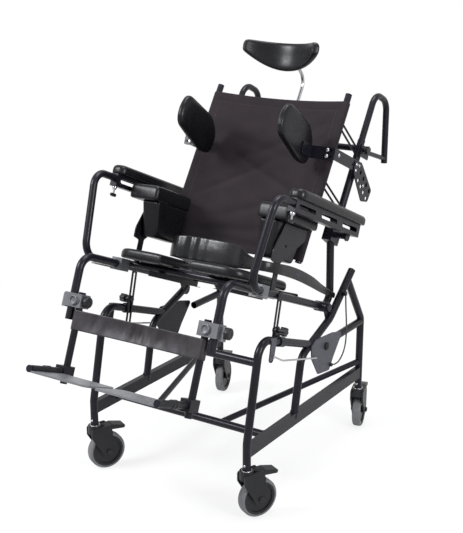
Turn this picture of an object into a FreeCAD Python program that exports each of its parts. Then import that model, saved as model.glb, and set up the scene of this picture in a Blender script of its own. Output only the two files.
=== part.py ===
import FreeCAD, Part
import math
import os

# Rehab shower chair with a tilting seat, in millimetres.
# The chair faces -Y, the sitter's left is +X, the floor is Z = 0.
# Seat pieces are drawn with the seat level: x across, u rearward along the seat and v square to it,
# measured from the tilt pivot. They are then turned back by TILT_REST about the pivot.

# Base
TRACK_WIDTH = 590.0
WHEEL_BASE = 750.0
TUBE_D = 25.4
TUBE_WALL = 2.0
BRACE_D = 20.0
SIDE_RAIL_WIDTH = 20.0
SIDE_RAIL_HEIGHT = 40.0
SIDE_RAIL_Z = 222.0
CROSSBAR_Y = -262.0
BRACE_FOOT_X = 124.0
BRACE_REAR_Z = 262.0
LEG_KNEE_Z = 245.0
LEG_TOP_SETBACK = 70.0
LEG_TOP_Z = 554.0
LEG_KNEE_RADIUS = 60.0
LEG_TOP_RADIUS = 50.0
UPPER_CROSSBAR_Z = 485.0
STRUT_FOOT_Y = -92.0
STRUT_KNEE = (-50.0, 418.0)
STRUT_ELBOW = (140.0, 490.0)
STRUT_TOP = (293.0, 619.0)
STRUT_KNEE_RADIUS = 55.0
STRUT_ELBOW_RADIUS = 90.0
RUN_JOINT_SHARE = 0.31
REAR_POST_TOP_Z = 425.0
REAR_POST_RADIUS = 40.0
REAR_DIAGONAL_SHARE = 0.8
UPPER_BAR_FRONT_Y = 200.0

# Casters
WHEEL_D = 125.0
WHEEL_WIDTH = 30.0
TYRE_DEPTH = 9.0
TYRE_EDGE_RADIUS = 7.0
CASTER_TRAIL = 38.0
CASTER_HEIGHT = 160.0
STEM_D = 12.0
STEM_LENGTH = 40.0
AXLE_D = 10.0
FORK_CHEEK = 5.0
FORK_GAP = 1.5
HOUSING_D = 44.0
HUB_BOSS_D = 26.0
HUB_RIM = 7.0
HUB_DISH = 4.0
PEDAL_LENGTH = 68.0
PEDAL_PIN_D = 6.0
PEDAL_HUB_D = 14.0
FRONT_CASTER_TURN = -27.0
REAR_CASTER_TURN = 15.0

# Tilt
PIVOT = (130.0, 530.0)
TILT_REST = 22.0
PIVOT_BOLT_D = 16.0
PIVOT_HEAD_D = 26.0
PIVOT_SLEEVE_D = 34.0
PIVOT_LUG = 6.0
PIVOT_LUG_WIDTH = 40.0
PIVOT_SLEEVE_INSET = 16.0
PIVOT_HEAD = 5.0
PIVOT_NUT = 8.0
RAIL_TO_BASE_GAP = 7.6
STAY_PIN_U = -313.0
STAY_PIN_D = 10.0
STAY_CLAMP_Y = -187.0
STAY_KNOB_CLEAR = 3.3
STAY_SCREW_D = 6.0
STAY_COLLAR = 4.0
STAY_LENGTH = 196.0
STAY_WIDTH = 24.0
STAY_THICKNESS = 4.0
STAY_SLOT_WIDTH = 12.0
STAY_SLOT_NEAR = 21.0
STAY_SLOT_FAR = 184.0
KNOB_D = 28.0
TILT_PLATE = 4.0
ROD_D = 6.0
ROD_BEND_RADIUS = 60.0
PLATE_BOLT_D = 10.0
PLATE_BOLT_HEAD_D = 18.0
CABLE_D = 5.0

# Seat
RAIL_FRONT_U = -400.0
RAIL_REAR_U = 76.0
RAIL_BEND_RADIUS = 45.0
UPRIGHT_TOP = (-34.0, 252.0)
ARM_PIN_DROP = 15.0
ARM_PIN_D = 12.0
ARM_LUG = 6.0
SEAT_TUBE_D = 22.0
SEAT_TUBE_CLEAR = 1.0
SEAT_TUBE_SETBACK = 16.0
SEAT_WIDTH = 470.0
SEAT_FRONT_U = -500.0
SEAT_REAR_U = -160.0
SEAT_BOTTOM_V = 20.0
SEAT_THICKNESS = 32.0
SEAT_CROWN = 6.0
SEAT_CORNER_RADIUS = 60.0
APERTURE_WIDTH = 120.0
APERTURE_LENGTH = 166.0
APERTURE_U = -280.0
FRONT_OPENING_WIDTH = 104.0
RUNNER_X = 130.0
GUARD_INSET = 74.0
GUARD_TOP_WIDTH = 112.0
GUARD_PANEL_WIDTH = 68.0
GUARD_FRONT_U = -400.0
GUARD_REAR_U = -195.0
GUARD_BOTTOM_V = 106.0
GUARD_LEDGE_V = 222.0
GUARD_TOP_V = 272.0
GUARD_BRACKET = 4.0
GUARD_HOLE_D = 9.0
BELT_THICKNESS = 3.0

# Legrest
HANGER_U = -612.0
HANGER_END_V = -200.0
HANGER_RADIUS = 45.0
SOCKET_LENGTH = 40.0
SOCKET_SIZE = 40.0
SOCKET_GRIP = 5.0
LEG_TUBE_D = 22.0
LEG_TUBE_INSET = 31.0
LEG_TUBE_TOP_V = -112.0
LEG_TUBE_BOTTOM_V = -394.0
CLAMP_TOP_V = -118.0
CLAMP_HEIGHT = 42.0
STRAP_TOP_V = -167.0
STRAP_HEIGHT = 61.0
STRAP_SAG = 26.0
STRAP_THICKNESS = 3.0
FOOT_ROD_V = -357.0
FOOT_ROD_D = 12.0
FOOT_ROD_LENGTH = 120.0
FOOT_CAP = 8.0
FOOT_CAP_D = 22.0
FOOT_BARREL_D = 20.0
FOOTPLATE_DEPTH = 140.0
FOOTPLATE_THICKNESS = 6.0
FOOTPLATE_CENTRE_GAP = 24.0
FOOT_BLOCK = 36.0

# Back
BACK_ANGLE = 11.0
CANE_D = 22.0
CANE_INSET = 12.0
CANE_N = -135.0
CANE_BOTTOM_S = -150.0
CANE_TOP_S = 440.0
POST_N = 22.0
POST_BOTTOM_S = -20.0
POST_TOP_S = 350.0
POST_WALL = 1.5
SLING_TOP_S = 410.0
SLING_BOTTOM_S = -146.0
SLING_THICKNESS = 3.0
SLING_SAG = 30.0
SPACER_D = 7.0
SPACER_PAIR = 20.0
SPACER_RISE = 35.0
SPACER_LEVELS = (290.0, 84.0)
BACK_CROSS_S = 320.0
HEADREST_STEM_D = 12.0
HEADREST_STEM_N = -19.0
HEADREST_BALL_D = 20.0
HEADREST_CENTRE = (-52.0, 818.0)
HEADREST_WIDTH = 290.0
HEADREST_HEIGHT = 94.0
HEADREST_TOP_SHARE = 0.42
HEADREST_END_SHARE = 0.05
HEADREST_BACK_ROOM = 12.0
HEADREST_CORNER = 22.0
HEADREST_LEAN = -8.0
HEADREST_SOCKET_START = 2.0
HEADREST_THICKNESS = 32.0
HEADREST_CURVE_RADIUS = 190.0
HEADREST_SOCKET_D = 36.0
HEADREST_BEND_RADIUS = 46.0
LATERAL_INSET = 90.0
LATERAL_THICKNESS = 30.0
LATERAL_LENGTH = 225.0
LATERAL_HEIGHT = 128.0
LATERAL_CENTRE = (-265.0, 508.0)
LATERAL_PITCH = 12.0
LATERAL_ARM_U = -170.0
LATERAL_ARM_V = 478.0
LATERAL_ARM_HEIGHT = 42.0
LATERAL_SLOT = 35.0
LATERAL_SLOT_D = 7.0
LATERAL_SLOT_SPACING = 20.0
LATERAL_SCREW_D = 6.0
LATERAL_SCREW_HEAD_D = 12.0
LATERAL_PLATE = 4.0
HANDLE_BOTTOM_S = 290.0
HANDLE_END = (275.0, 549.0)
HANDLE_TOP_V = 750.0
HANDLE_RADIUS = 50.0
HANDLE_STUB_D = 16.0
HANDLE_PLATE = 5.0
HANDLE_KNOB_D = 30.0
HANDLE_KNOB_NECK = 8.0
HANDLE_KNOB_HEAD = 11.0

# Arms
ARM_OUTSET = 37.0
ARM_FOOT_OUTSET = 10.0
ARM_TUBE_D = 24.0
ARM_FOOT_U = -488.0
ARM_FRONT_U = -551.0
ARM_TOP_V = 271.0
ARM_LOWER_RADIUS = 52.0
ARM_UPPER_RADIUS = 46.0
CHANNEL_WIDTH = 26.0
CHANNEL_BOTTOM_V = 244.0
CHANNEL_TOP_V = 286.0
CHANNEL_FRONT_U = -452.0
CHANNEL_REAR_U = 8.0
CHANNEL_WALL = 3.0
CHANNEL_SLOTS = 3
CHANNEL_SLOT_WIDTH = 14.0
ARM_PAD_WIDTH = 56.0
ARM_PAD_THICKNESS = 31.0
ARM_PAD_OVERHANG = 16.0
ARM_PAD_CORNER_RADIUS = 22.0

# Clearances
RUNNING = 0.06
SLIDING = 0.1
SEATED = 0.1
APART = 0.5

# Worked out from the sizes above
TUBE_R = TUBE_D / 2
ROOM_D = TUBE_D + 2 * SEATED
BASE_X = TRACK_WIDTH / 2
STEM_Y = WHEEL_BASE / 2
RAIL_X = BASE_X - TUBE_D - RAIL_TO_BASE_GAP
ARM_X = BASE_X + ARM_OUTSET
CANE_X = RAIL_X - CANE_INSET
LEG_X = RAIL_X - LEG_TUBE_INSET
GUARD_INNER_X = RAIL_X - GUARD_INSET
LATERAL_INNER_X = RAIL_X - LATERAL_INSET
SEAT_TUBE_V = SEAT_BOTTOM_V - SEATED - SEAT_TUBE_D / 2
SEAT_TUBE_US = (
    RAIL_FRONT_U + SOCKET_GRIP + SEAT_TUBE_D / 2 + SEAT_TUBE_CLEAR,
    SEAT_REAR_U - SEAT_TUBE_SETBACK,
)
STAY_X = RAIL_X + TUBE_R + 1.3
STAY_SCREW_RISE = TUBE_R + STAY_COLLAR + KNOB_D / 2 + STAY_KNOB_CLEAR
PLATE_X = BASE_X + TUBE_R + SEATED
UPRIGHT_LENGTH = math.hypot(UPRIGHT_TOP[0] - RAIL_REAR_U, UPRIGHT_TOP[1])
UPRIGHT_DIRECTION = ((UPRIGHT_TOP[0] - RAIL_REAR_U) / UPRIGHT_LENGTH, UPRIGHT_TOP[1] / UPRIGHT_LENGTH)
ARM_PIN = (
    UPRIGHT_TOP[0] - ARM_PIN_DROP * UPRIGHT_DIRECTION[0],
    UPRIGHT_TOP[1] - ARM_PIN_DROP * UPRIGHT_DIRECTION[1],
)
X_AXIS = FreeCAD.Vector(1, 0, 0)
Y_AXIS = FreeCAD.Vector(0, 1, 0)
Z_AXIS = FreeCAD.Vector(0, 0, 1)


# Drawing helpers

def vec(x, y, z):
    return FreeCAD.Vector(x, y, z)


def along(start, end, share):
    """Point at a share of the way between two (y, z) or (u, v) points."""
    return tuple(a + (b - a) * share for a, b in zip(start, end))


def corner_arc(before, corner, after, radius):
    """Start, middle and end of the arc that rounds a corner."""
    back = (before - corner).normalize()
    ahead = (after - corner).normalize()
    half_turn = (math.pi - back.getAngle(ahead)) / 2
    setback = radius * math.tan(half_turn)
    inward = (back + ahead).normalize()
    middle = corner + inward * (radius / math.cos(half_turn) - radius)
    return corner + back * setback, middle, corner + ahead * setback


def bent_path(points, radii):
    """Straight runs joined by tangent arcs, one radius for each inner point."""
    edges = []
    start = points[0]
    for i in range(1, len(points) - 1):
        first, middle, last = corner_arc(points[i - 1], points[i], points[i + 1], radii[i - 1])
        edges.append(Part.LineSegment(start, first).toShape())
        edges.append(Part.Arc(first, middle, last).toShape())
        start = last
    edges.append(Part.LineSegment(start, points[-1]).toShape())
    return Part.Wire(edges)


def bar(points, radii, diameter):
    """Solid round bar along a bent path."""
    direction = points[1] - points[0]
    if len(points) == 2:
        return Part.makeCylinder(diameter / 2, direction.Length, points[0], direction)
    section = Part.Wire([Part.makeCircle(diameter / 2, points[0], direction)])
    return bent_path(points, radii).makePipeShell([section], True, True)


def tube(points, radii, diameter, wall):
    """Round tube along a bent path, open at both ends."""
    return bar(points, radii, diameter).cut(bar(points, radii, diameter - 2 * wall))


def pin(x_start, x_end, y, z, diameter):
    """Round bar across the chair."""
    return Part.makeCylinder(diameter / 2, x_end - x_start, vec(x_start, y, z), X_AXIS)


def block(x, y, z):
    """Box between pairs of limits."""
    return Part.makeBox(x[1] - x[0], y[1] - y[0], z[1] - z[0], vec(x[0], y[0], z[0]))


def rounded_face(points, radius):
    """Face inside a closed outline whose corners are rounded alike."""
    count = len(points)
    arcs = [corner_arc(points[i - 1], points[i], points[(i + 1) % count], radius) for i in range(count)]
    edges = []
    for i in range(count):
        following = arcs[(i + 1) % count]
        edges.append(Part.Arc(*arcs[i]).toShape())
        edges.append(Part.LineSegment(arcs[i][2], following[0]).toShape())
    return Part.Face(Part.Wire(edges))


def side_plate(outline, x_start, thickness, radius):
    """Flat plate facing sideways, from a (y, z) outline."""
    points = [vec(x_start, y, z) for y, z in outline]
    return rounded_face(points, radius).extrude(vec(thickness, 0, 0))


def capsule(start, end, width, x_start, thickness):
    """Flat bar facing sideways with a round end about each of two (y, z) points."""
    a = vec(x_start, *start)
    b = vec(x_start, *end)
    side = (b - a).cross(X_AXIS).normalize() * (width / 2)
    middle = Part.Face(Part.makePolygon([a + side, b + side, b - side, a - side, a + side]))
    ends = [pin(x_start, x_start + thickness, p.y, p.z, width) for p in (a, b)]
    return middle.extrude(vec(thickness, 0, 0)).multiFuse(ends).removeSplitter()


def mirrored(shape):
    return shape.mirror(vec(0, 0, 0), X_AXIS)


def seated(shape):
    """Turn a piece drawn on the level seat back to the rest tilt."""
    turned = shape.copy()
    turned.rotate(vec(0, 0, 0), X_AXIS, -TILT_REST)
    turned.translate(vec(0, *PIVOT))
    return turned


def back_point(x, s, n):
    """Point on the level seat from heights s and depths n of the leaning back."""
    lean = math.radians(BACK_ANGLE)
    u = ARM_PIN[0] + s * math.sin(lean) + n * math.cos(lean)
    v = ARM_PIN[1] + s * math.cos(lean) - n * math.sin(lean)
    return vec(x, u, v)


PARTS = {}


def keep(name, *solids):
    """Store one node, as one solid or as a group of solids."""
    PARTS[name] = solids[0] if len(solids) == 1 else Part.makeCompound(list(solids))


def keep_pair(name, *solids):
    """Store a left node and its mirror image on the right."""
    keep(name + "_left", *solids)
    keep(name + "_right", *[mirrored(solid) for solid in solids])


def keep_both(name, *solids):
    """Store left pieces and their mirror images in one node."""
    keep(name, *solids, *[mirrored(solid) for solid in solids])


# Base frame

def base_point(place):
    return vec(BASE_X, *place)


def stem_socket(y):
    """Bush in the foot of a leg, which the caster stem turns in."""
    bore = STEM_D + 2 * RUNNING
    bush = Part.makeCylinder(TUBE_R - TUBE_WALL, STEM_LENGTH + 2, vec(BASE_X, y, CASTER_HEIGHT))
    return bush.cut(Part.makeCylinder(bore / 2, STEM_LENGTH + 2, vec(BASE_X, y, CASTER_HEIGHT)))


LEG_KNEE = (-STEM_Y, LEG_KNEE_Z)
LEG_TOP = (LEG_TOP_SETBACK - STEM_Y, LEG_TOP_Z)
RUN_END = along(STRUT_KNEE, STRUT_ELBOW, RUN_JOINT_SHARE)
SIDE_RAIL_TOP_Z = SIDE_RAIL_Z + SIDE_RAIL_HEIGHT / 2

leg_points = [base_point(p) for p in ((-STEM_Y, CASTER_HEIGHT), LEG_KNEE, LEG_TOP, RUN_END)]
leg_radii = [LEG_KNEE_RADIUS, LEG_TOP_RADIUS]
strut_points = [
    base_point(p)
    for p in ((STRUT_FOOT_Y, SIDE_RAIL_Z), STRUT_KNEE, STRUT_ELBOW, STRUT_TOP)
]
strut_radii = [STRUT_KNEE_RADIUS, STRUT_ELBOW_RADIUS]
diagonal_end = along(STRUT_ELBOW, STRUT_TOP, REAR_DIAGONAL_SHARE)
rear_points = [base_point(p) for p in ((STEM_Y, CASTER_HEIGHT), (STEM_Y, REAR_POST_TOP_Z), diagonal_end)]
bar_points = [base_point((y, REAR_POST_TOP_Z - TUBE_R)) for y in (STEM_Y, UPPER_BAR_FRONT_Y)]

leg_room = bar(leg_points, leg_radii, ROOM_D)
strut_solid = bar(strut_points, strut_radii, TUBE_D)
strut_room = bar(strut_points, strut_radii, ROOM_D)
post_solid = bar(rear_points, [REAR_POST_RADIUS], TUBE_D)
post_room = bar(rear_points, [REAR_POST_RADIUS], ROOM_D)
rail_limits = (
    (BASE_X - SIDE_RAIL_WIDTH / 2, BASE_X + SIDE_RAIL_WIDTH / 2),
    (-STEM_Y, STEM_Y),
    (SIDE_RAIL_Z - SIDE_RAIL_HEIGHT / 2, SIDE_RAIL_TOP_Z),
)
rail_solid = block(*rail_limits)
rail_room = block(*[(low - SEATED, high + SEATED) for low, high in rail_limits])


def make_front_leg():
    leg = tube(leg_points, leg_radii, TUBE_D, TUBE_WALL).fuse(stem_socket(-STEM_Y))
    return leg.cut(strut_room)


def make_side_rail():
    inner = [(low + TUBE_WALL, high - TUBE_WALL) for low, high in rail_limits]
    inner[1] = rail_limits[1]
    return rail_solid.cut(block(*inner)).cut(leg_room).cut(post_room)


def pivot_foot():
    """Point on the strut nearest to the tilt pivot."""
    knee = vec(0, *STRUT_KNEE)
    direction = (vec(0, *STRUT_ELBOW) - knee).normalize()
    foot = knee + direction * (vec(0, *PIVOT) - knee).dot(direction)
    return foot.y, foot.z


LUG_X = BASE_X - TUBE_R + 3.7


def make_pivot_strut():
    lug = capsule(pivot_foot(), PIVOT, PIVOT_LUG_WIDTH, LUG_X, PIVOT_LUG)
    hollow = bar(strut_points, strut_radii, TUBE_D - 2 * TUBE_WALL)
    strut = strut_solid.fuse(lug).cut(hollow).cut(rail_room)
    return strut.cut(pin(LUG_X, LUG_X + PIVOT_LUG, *PIVOT, PIVOT_BOLT_D))


def make_rear_frame():
    outer = post_solid.fuse(bar(bar_points, [], TUBE_D))
    bore = TUBE_D - 2 * TUBE_WALL
    inner = bar(rear_points, [REAR_POST_RADIUS], bore).fuse(bar(bar_points, [], bore))
    return outer.cut(inner).fuse(stem_socket(STEM_Y)).cut(strut_room)


def make_cross_members():
    half = BASE_X - SIDE_RAIL_WIDTH / 2
    lower_z = SIDE_RAIL_TOP_Z - TUBE_R - 1
    lower = [vec(-half, CROSSBAR_Y, lower_z), vec(half, CROSSBAR_Y, lower_z)]
    share = (UPPER_CROSSBAR_Z - LEG_KNEE_Z) / (LEG_TOP_Z - LEG_KNEE_Z)
    upper_y = along(LEG_KNEE, LEG_TOP, share)[0]
    upper = [vec(-BASE_X, upper_y, UPPER_CROSSBAR_Z), vec(BASE_X, upper_y, UPPER_CROSSBAR_Z)]
    brace = [vec(BRACE_FOOT_X, CROSSBAR_Y, lower_z), vec(BASE_X, STEM_Y, BRACE_REAR_Z)]
    brace_tube = tube(brace, [], BRACE_D, TUBE_WALL).cut(bar(lower, [], ROOM_D)).cut(post_room)
    lower_tube = tube(lower, [], TUBE_D, TUBE_WALL).cut(rail_room).cut(mirrored(rail_room))
    upper_tube = tube(upper, [], TUBE_D, TUBE_WALL).cut(leg_room).cut(mirrored(leg_room))
    return lower_tube, upper_tube, brace_tube, mirrored(brace_tube)


def make_pivot_bolt():
    """Bolt from inside the seat sleeve through the base lug, with a washer head and a nut."""
    inner_end = RAIL_X - PIVOT_SLEEVE_INSET
    bolt = pin(inner_end, LUG_X + PIVOT_LUG, *PIVOT, PIVOT_BOLT_D)
    head = pin(inner_end - PIVOT_HEAD, inner_end, *PIVOT, PIVOT_HEAD_D)
    nut = pin(LUG_X + PIVOT_LUG, LUG_X + PIVOT_LUG + PIVOT_NUT, *PIVOT, PIVOT_HEAD_D)
    return bolt.fuse(head).fuse(nut)


TILT_PLATE_OUTLINE = (
    (-14, 440), (18, 456), (135, 446), (203, 428), (140, 357), (113, 320), (36, 331), (-8, 396),
)
TILT_PLATE_BOLT = (87, 413)
ROD_CLIP_OUTLINE = ((-276, 478), (-250, 478), (-232, 540), (-262, 548))
ROD_ROUTE = ((-262, 492), (-202, 458), (14, 396))


def make_tilt_plate():
    """Plate outside the strut, its bolt, and the lock rod that runs forward to a clip on the top run."""
    hole = pin(PLATE_X, PLATE_X + TILT_PLATE, *TILT_PLATE_BOLT, PLATE_BOLT_D)
    plate = side_plate(TILT_PLATE_OUTLINE, PLATE_X, TILT_PLATE, 9).cut(hole)
    shank = pin(PLATE_X, PLATE_X + TILT_PLATE, *TILT_PLATE_BOLT, PLATE_BOLT_D - 2 * SEATED)
    head = pin(PLATE_X + TILT_PLATE, PLATE_X + TILT_PLATE + 5, *TILT_PLATE_BOLT, PLATE_BOLT_HEAD_D)
    bolt = shank.fuse(head)
    clip = side_plate(ROD_CLIP_OUTLINE, PLATE_X, TILT_PLATE, 6)
    rod_x = PLATE_X + TILT_PLATE + ROD_D / 2
    rod_points = [vec(rod_x, *place) for place in ROD_ROUTE]
    return plate, bolt, clip, bar(rod_points, [ROD_BEND_RADIUS], ROD_D)


def clamp_point():
    """Middle of the top run where the stay clamp sits."""
    share = (STAY_CLAMP_Y - LEG_TOP[0]) / (RUN_END[0] - LEG_TOP[0])
    return along(LEG_TOP, RUN_END, share)


STAY_SCREW = (STAY_CLAMP_Y, clamp_point()[1] + STAY_SCREW_RISE)
EAR_X = STAY_X + STAY_THICKNESS + 1.5
EAR = 6.0


def make_stay_clamp():
    """Collar on the top run with an ear beside the stay for the clamp screw."""
    centre = base_point(clamp_point())
    direction = (base_point(RUN_END) - base_point(LEG_TOP)).normalize()
    start = centre - direction * 15
    collar = Part.makeCylinder(TUBE_R + STAY_COLLAR, 30, start, direction)
    ear = capsule(clamp_point(), STAY_SCREW, 26, EAR_X, EAR)
    inside = block((0, EAR_X), (-600, 600), (0, 900))
    bore = Part.makeCylinder(TUBE_R + SEATED / 2, 60, start - direction * 15, direction)
    hole = pin(EAR_X, EAR_X + EAR, *STAY_SCREW, STAY_SCREW_D + 2 * RUNNING)
    return collar.fuse(ear).cut(inside).cut(bore).cut(hole)


def make_stay_knob():
    """Lobed knob with its screw through the ear and the stay slot, and a washer nut inside."""
    head_x = EAR_X + EAR + 12
    screw = pin(STAY_X - 4, EAR_X + EAR + 1, *STAY_SCREW, STAY_SCREW_D)
    nut = pin(STAY_X - 4, STAY_X - APART, *STAY_SCREW, STAY_SLOT_WIDTH + 5)
    neck = pin(EAR_X + EAR + APART, head_x, *STAY_SCREW, KNOB_D / 2)
    head = pin(head_x, head_x + 18, *STAY_SCREW, KNOB_D)
    for lobe in range(6):
        angle = math.radians(60 * lobe)
        reach = KNOB_D / 2 + 2
        y = STAY_SCREW[0] + reach * math.cos(angle)
        z = STAY_SCREW[1] + reach * math.sin(angle)
        head = head.cut(pin(head_x, head_x + 18, y, z, 9))
    return screw.multiFuse([nut, neck, head])


def stay_pin_place():
    """Stay pin on the seat rail at the rest tilt, as (y, z)."""
    tilt = math.radians(TILT_REST)
    return PIVOT[0] + STAY_PIN_U * math.cos(tilt), PIVOT[1] - STAY_PIN_U * math.sin(tilt)


def make_tilt_stay():
    """Slotted flat bar from the seat rail down past the clamp screw."""
    top = stay_pin_place()
    reach = math.hypot(STAY_SCREW[0] - top[0], STAY_SCREW[1] - top[1])
    place = [along(top, STAY_SCREW, d / reach) for d in (STAY_LENGTH, STAY_SLOT_NEAR, STAY_SLOT_FAR)]
    bar_solid = capsule(top, place[0], STAY_WIDTH, STAY_X, STAY_THICKNESS)
    slot = capsule(place[1], place[2], STAY_SLOT_WIDTH, STAY_X, STAY_THICKNESS)
    return bar_solid.cut(slot).cut(pin(STAY_X, STAY_X + STAY_THICKNESS, *top, STAY_PIN_D + 2 * RUNNING))


CABLE_ROUTE = (
    (118, 338), (150, 328), (188, 337), (216, 366), (225, 412), (221, 466), (213, 518), (209, 566),
)


def cable_radii(points):
    """Largest arc that each pair of runs leaves room for."""
    radii = []
    for i in range(1, len(points) - 1):
        back = points[i - 1] - points[i]
        ahead = points[i + 1] - points[i]
        half_turn = (math.pi - back.getAngle(ahead)) / 2
        radii.append(0.45 * min(back.Length, ahead.Length) / math.tan(half_turn))
    return radii


def make_tilt_cable():
    """Cable from a ferrule on the tilt plate up to a clip on the open tube."""
    x = PLATE_X + TILT_PLATE + CABLE_D / 2 + 2
    points = [vec(x, y, z) for y, z in CABLE_ROUTE]
    cable = bar(points, cable_radii(points), CABLE_D)
    ferrule = pin(PLATE_X + TILT_PLATE, x + 4, *CABLE_ROUTE[0], 12).cut(cable)
    end = CABLE_ROUTE[-1]
    clip = block((BASE_X + TUBE_R - 4, x + 4), (end[0] - 7, end[0] + 7), (end[1] - 12, end[1] + 2))
    return cable, ferrule, clip.cut(cable).cut(strut_room)


# Casters, drawn about the swivel axis with the wheel trailing towards +Y

WHEEL_R = WHEEL_D / 2
CHEEK_X = WHEEL_WIDTH / 2 + 2 + FORK_GAP
PEDAL_PIN = (CASTER_TRAIL - 4, CASTER_HEIGHT - 14)


def make_tyre():
    outer = pin(-WHEEL_WIDTH / 2, WHEEL_WIDTH / 2, CASTER_TRAIL, WHEEL_R, WHEEL_D)
    rims = [edge for edge in outer.Edges if abs(edge.BoundBox.XLength) < 0.01]
    crown = outer.makeFillet(TYRE_EDGE_RADIUS, rims)
    return crown.cut(pin(-WHEEL_WIDTH, WHEEL_WIDTH, CASTER_TRAIL, WHEEL_R, WHEEL_D - 2 * TYRE_DEPTH))


def make_hub():
    rim_d = WHEEL_D - 2 * TYRE_DEPTH - 2 * SEATED
    half = WHEEL_WIDTH / 2
    disc = pin(2 - half, half - 2, CASTER_TRAIL, WHEEL_R, rim_d)
    for x in (2 - half, half - 2 - HUB_DISH):
        dish = pin(x, x + HUB_DISH, CASTER_TRAIL, WHEEL_R, rim_d - 2 * HUB_RIM)
        disc = disc.cut(dish)
    boss = pin(-half - 2, half + 2, CASTER_TRAIL, WHEEL_R, HUB_BOSS_D)
    return disc.fuse(boss).cut(pin(-half - 2, half + 2, CASTER_TRAIL, WHEEL_R, AXLE_D + 2 * RUNNING))


def make_fork():
    """Swivel housing, crown and two cheeks, with the stem, the axle and the pedal pin."""
    top = CASTER_HEIGHT - APART
    crown_z = WHEEL_D + 5
    housing = Part.makeCylinder(HOUSING_D / 2, top - crown_z, vec(0, 0, crown_z))
    stem = Part.makeCylinder(STEM_D / 2, STEM_LENGTH + APART, vec(0, 0, top))
    outline = (
        (-20, top - 8), (PEDAL_PIN[0] + 12, top - 2), (PEDAL_PIN[0] + 20, crown_z), (CASTER_TRAIL + 15, 48),
        (CASTER_TRAIL - 15, 48), (-20, crown_z - 10),
    )
    outer = CHEEK_X + FORK_CHEEK
    cheeks = [side_plate(outline, x, FORK_CHEEK, 10) for x in (CHEEK_X, -outer)]
    crown = block((-outer, outer), (-18, 18), (crown_z, crown_z + 16))
    axle = pin(-outer - 3, outer + 3, CASTER_TRAIL, WHEEL_R, AXLE_D)
    pedal_pin = pin(-outer, outer, *PEDAL_PIN, PEDAL_PIN_D)
    return housing.multiFuse([stem, *cheeks, crown, axle, pedal_pin]).removeSplitter()


def make_pedal():
    """Toe lever between the cheeks, over the trailing side of the wheel."""
    half = CHEEK_X - APART
    y, z = PEDAL_PIN
    toe = y + PEDAL_LENGTH
    outline = ((y - 3, z + 7), (y + 24, z + 8), (toe, z - 2), (toe - 4, z - 12), (y - 3, z - 7))
    lever = side_plate(outline, -half, 2 * half, 3).fuse(pin(-half, half, y, z, PEDAL_HUB_D))
    return lever.cut(pin(-half, half, y, z, PEDAL_PIN_D + 2 * RUNNING))


def keep_casters():
    makers = {"fork": make_fork, "tyre": make_tyre, "hub": make_hub, "pedal": make_pedal}
    corners = {
        "front_left": (BASE_X, -STEM_Y, FRONT_CASTER_TURN),
        "front_right": (-BASE_X, -STEM_Y, FRONT_CASTER_TURN),
        "rear_left": (BASE_X, STEM_Y, REAR_CASTER_TURN),
        "rear_right": (-BASE_X, STEM_Y, REAR_CASTER_TURN),
    }
    for piece, maker in makers.items():
        for corner, (x, y, turn) in corners.items():
            shape = maker()
            shape.rotate(vec(0, 0, 0), Z_AXIS, turn)
            shape.translate(vec(x, y, 0))
            keep("caster_%s_%s" % (piece, corner), shape)


# Seat

rail_points = [vec(RAIL_X, RAIL_FRONT_U, 0), vec(RAIL_X, RAIL_REAR_U, 0), vec(RAIL_X, *UPRIGHT_TOP)]
seat_rail_room = bar(rail_points, [RAIL_BEND_RADIUS], ROOM_D)


def make_seat_rail():
    """Rail bent up into the rear upright, with the pivot sleeve and the stay stud."""
    rail = tube(rail_points, [RAIL_BEND_RADIUS], TUBE_D, TUBE_WALL)
    sleeve = pin(RAIL_X - PIVOT_SLEEVE_INSET + APART, LUG_X - APART, 0, 0, PIVOT_SLEEVE_D)
    stud = pin(RAIL_X + TUBE_R - TUBE_WALL, STAY_X + STAY_THICKNESS + APART, STAY_PIN_U, 0, STAY_PIN_D)
    rail = rail.multiFuse([sleeve, stud]).cut(pin(0, BASE_X, 0, 0, PIVOT_BOLT_D + 2 * RUNNING))
    return rail.cut(pin(0, BASE_X, *ARM_PIN, ARM_PIN_D + 2 * RUNNING))


def make_seat_underframe():
    """Cross tubes between the rails, and the two runners hung below them."""
    pieces = []
    for u in SEAT_TUBE_US:
        ends = [vec(-RAIL_X, u, SEAT_TUBE_V), vec(RAIL_X, u, SEAT_TUBE_V)]
        cross = tube(ends, [], SEAT_TUBE_D, TUBE_WALL).cut(seat_rail_room)
        pieces.append(cross.cut(mirrored(seat_rail_room)))
    top_v = SEAT_TUBE_V - SEAT_TUBE_D / 2
    limits = (SEAT_TUBE_US[0] - 55, SEAT_TUBE_US[1] + 25)
    web = block((RUNNER_X - 2, RUNNER_X), limits, (top_v - 18, top_v))
    shelf = block((RUNNER_X - 14, RUNNER_X), limits, (top_v - 18, top_v - 16))
    runner = web.fuse(shelf)
    return (*pieces, runner, mirrored(runner))


def seat_outline(inset):
    """Corners of the seat pad in plan, drawn in by an inset."""
    half = SEAT_WIDTH / 2 - inset
    return [
        (half, SEAT_FRONT_U + inset), (half, SEAT_REAR_U - inset),
        (-half, SEAT_REAR_U - inset), (-half, SEAT_FRONT_U + inset),
    ]


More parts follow.
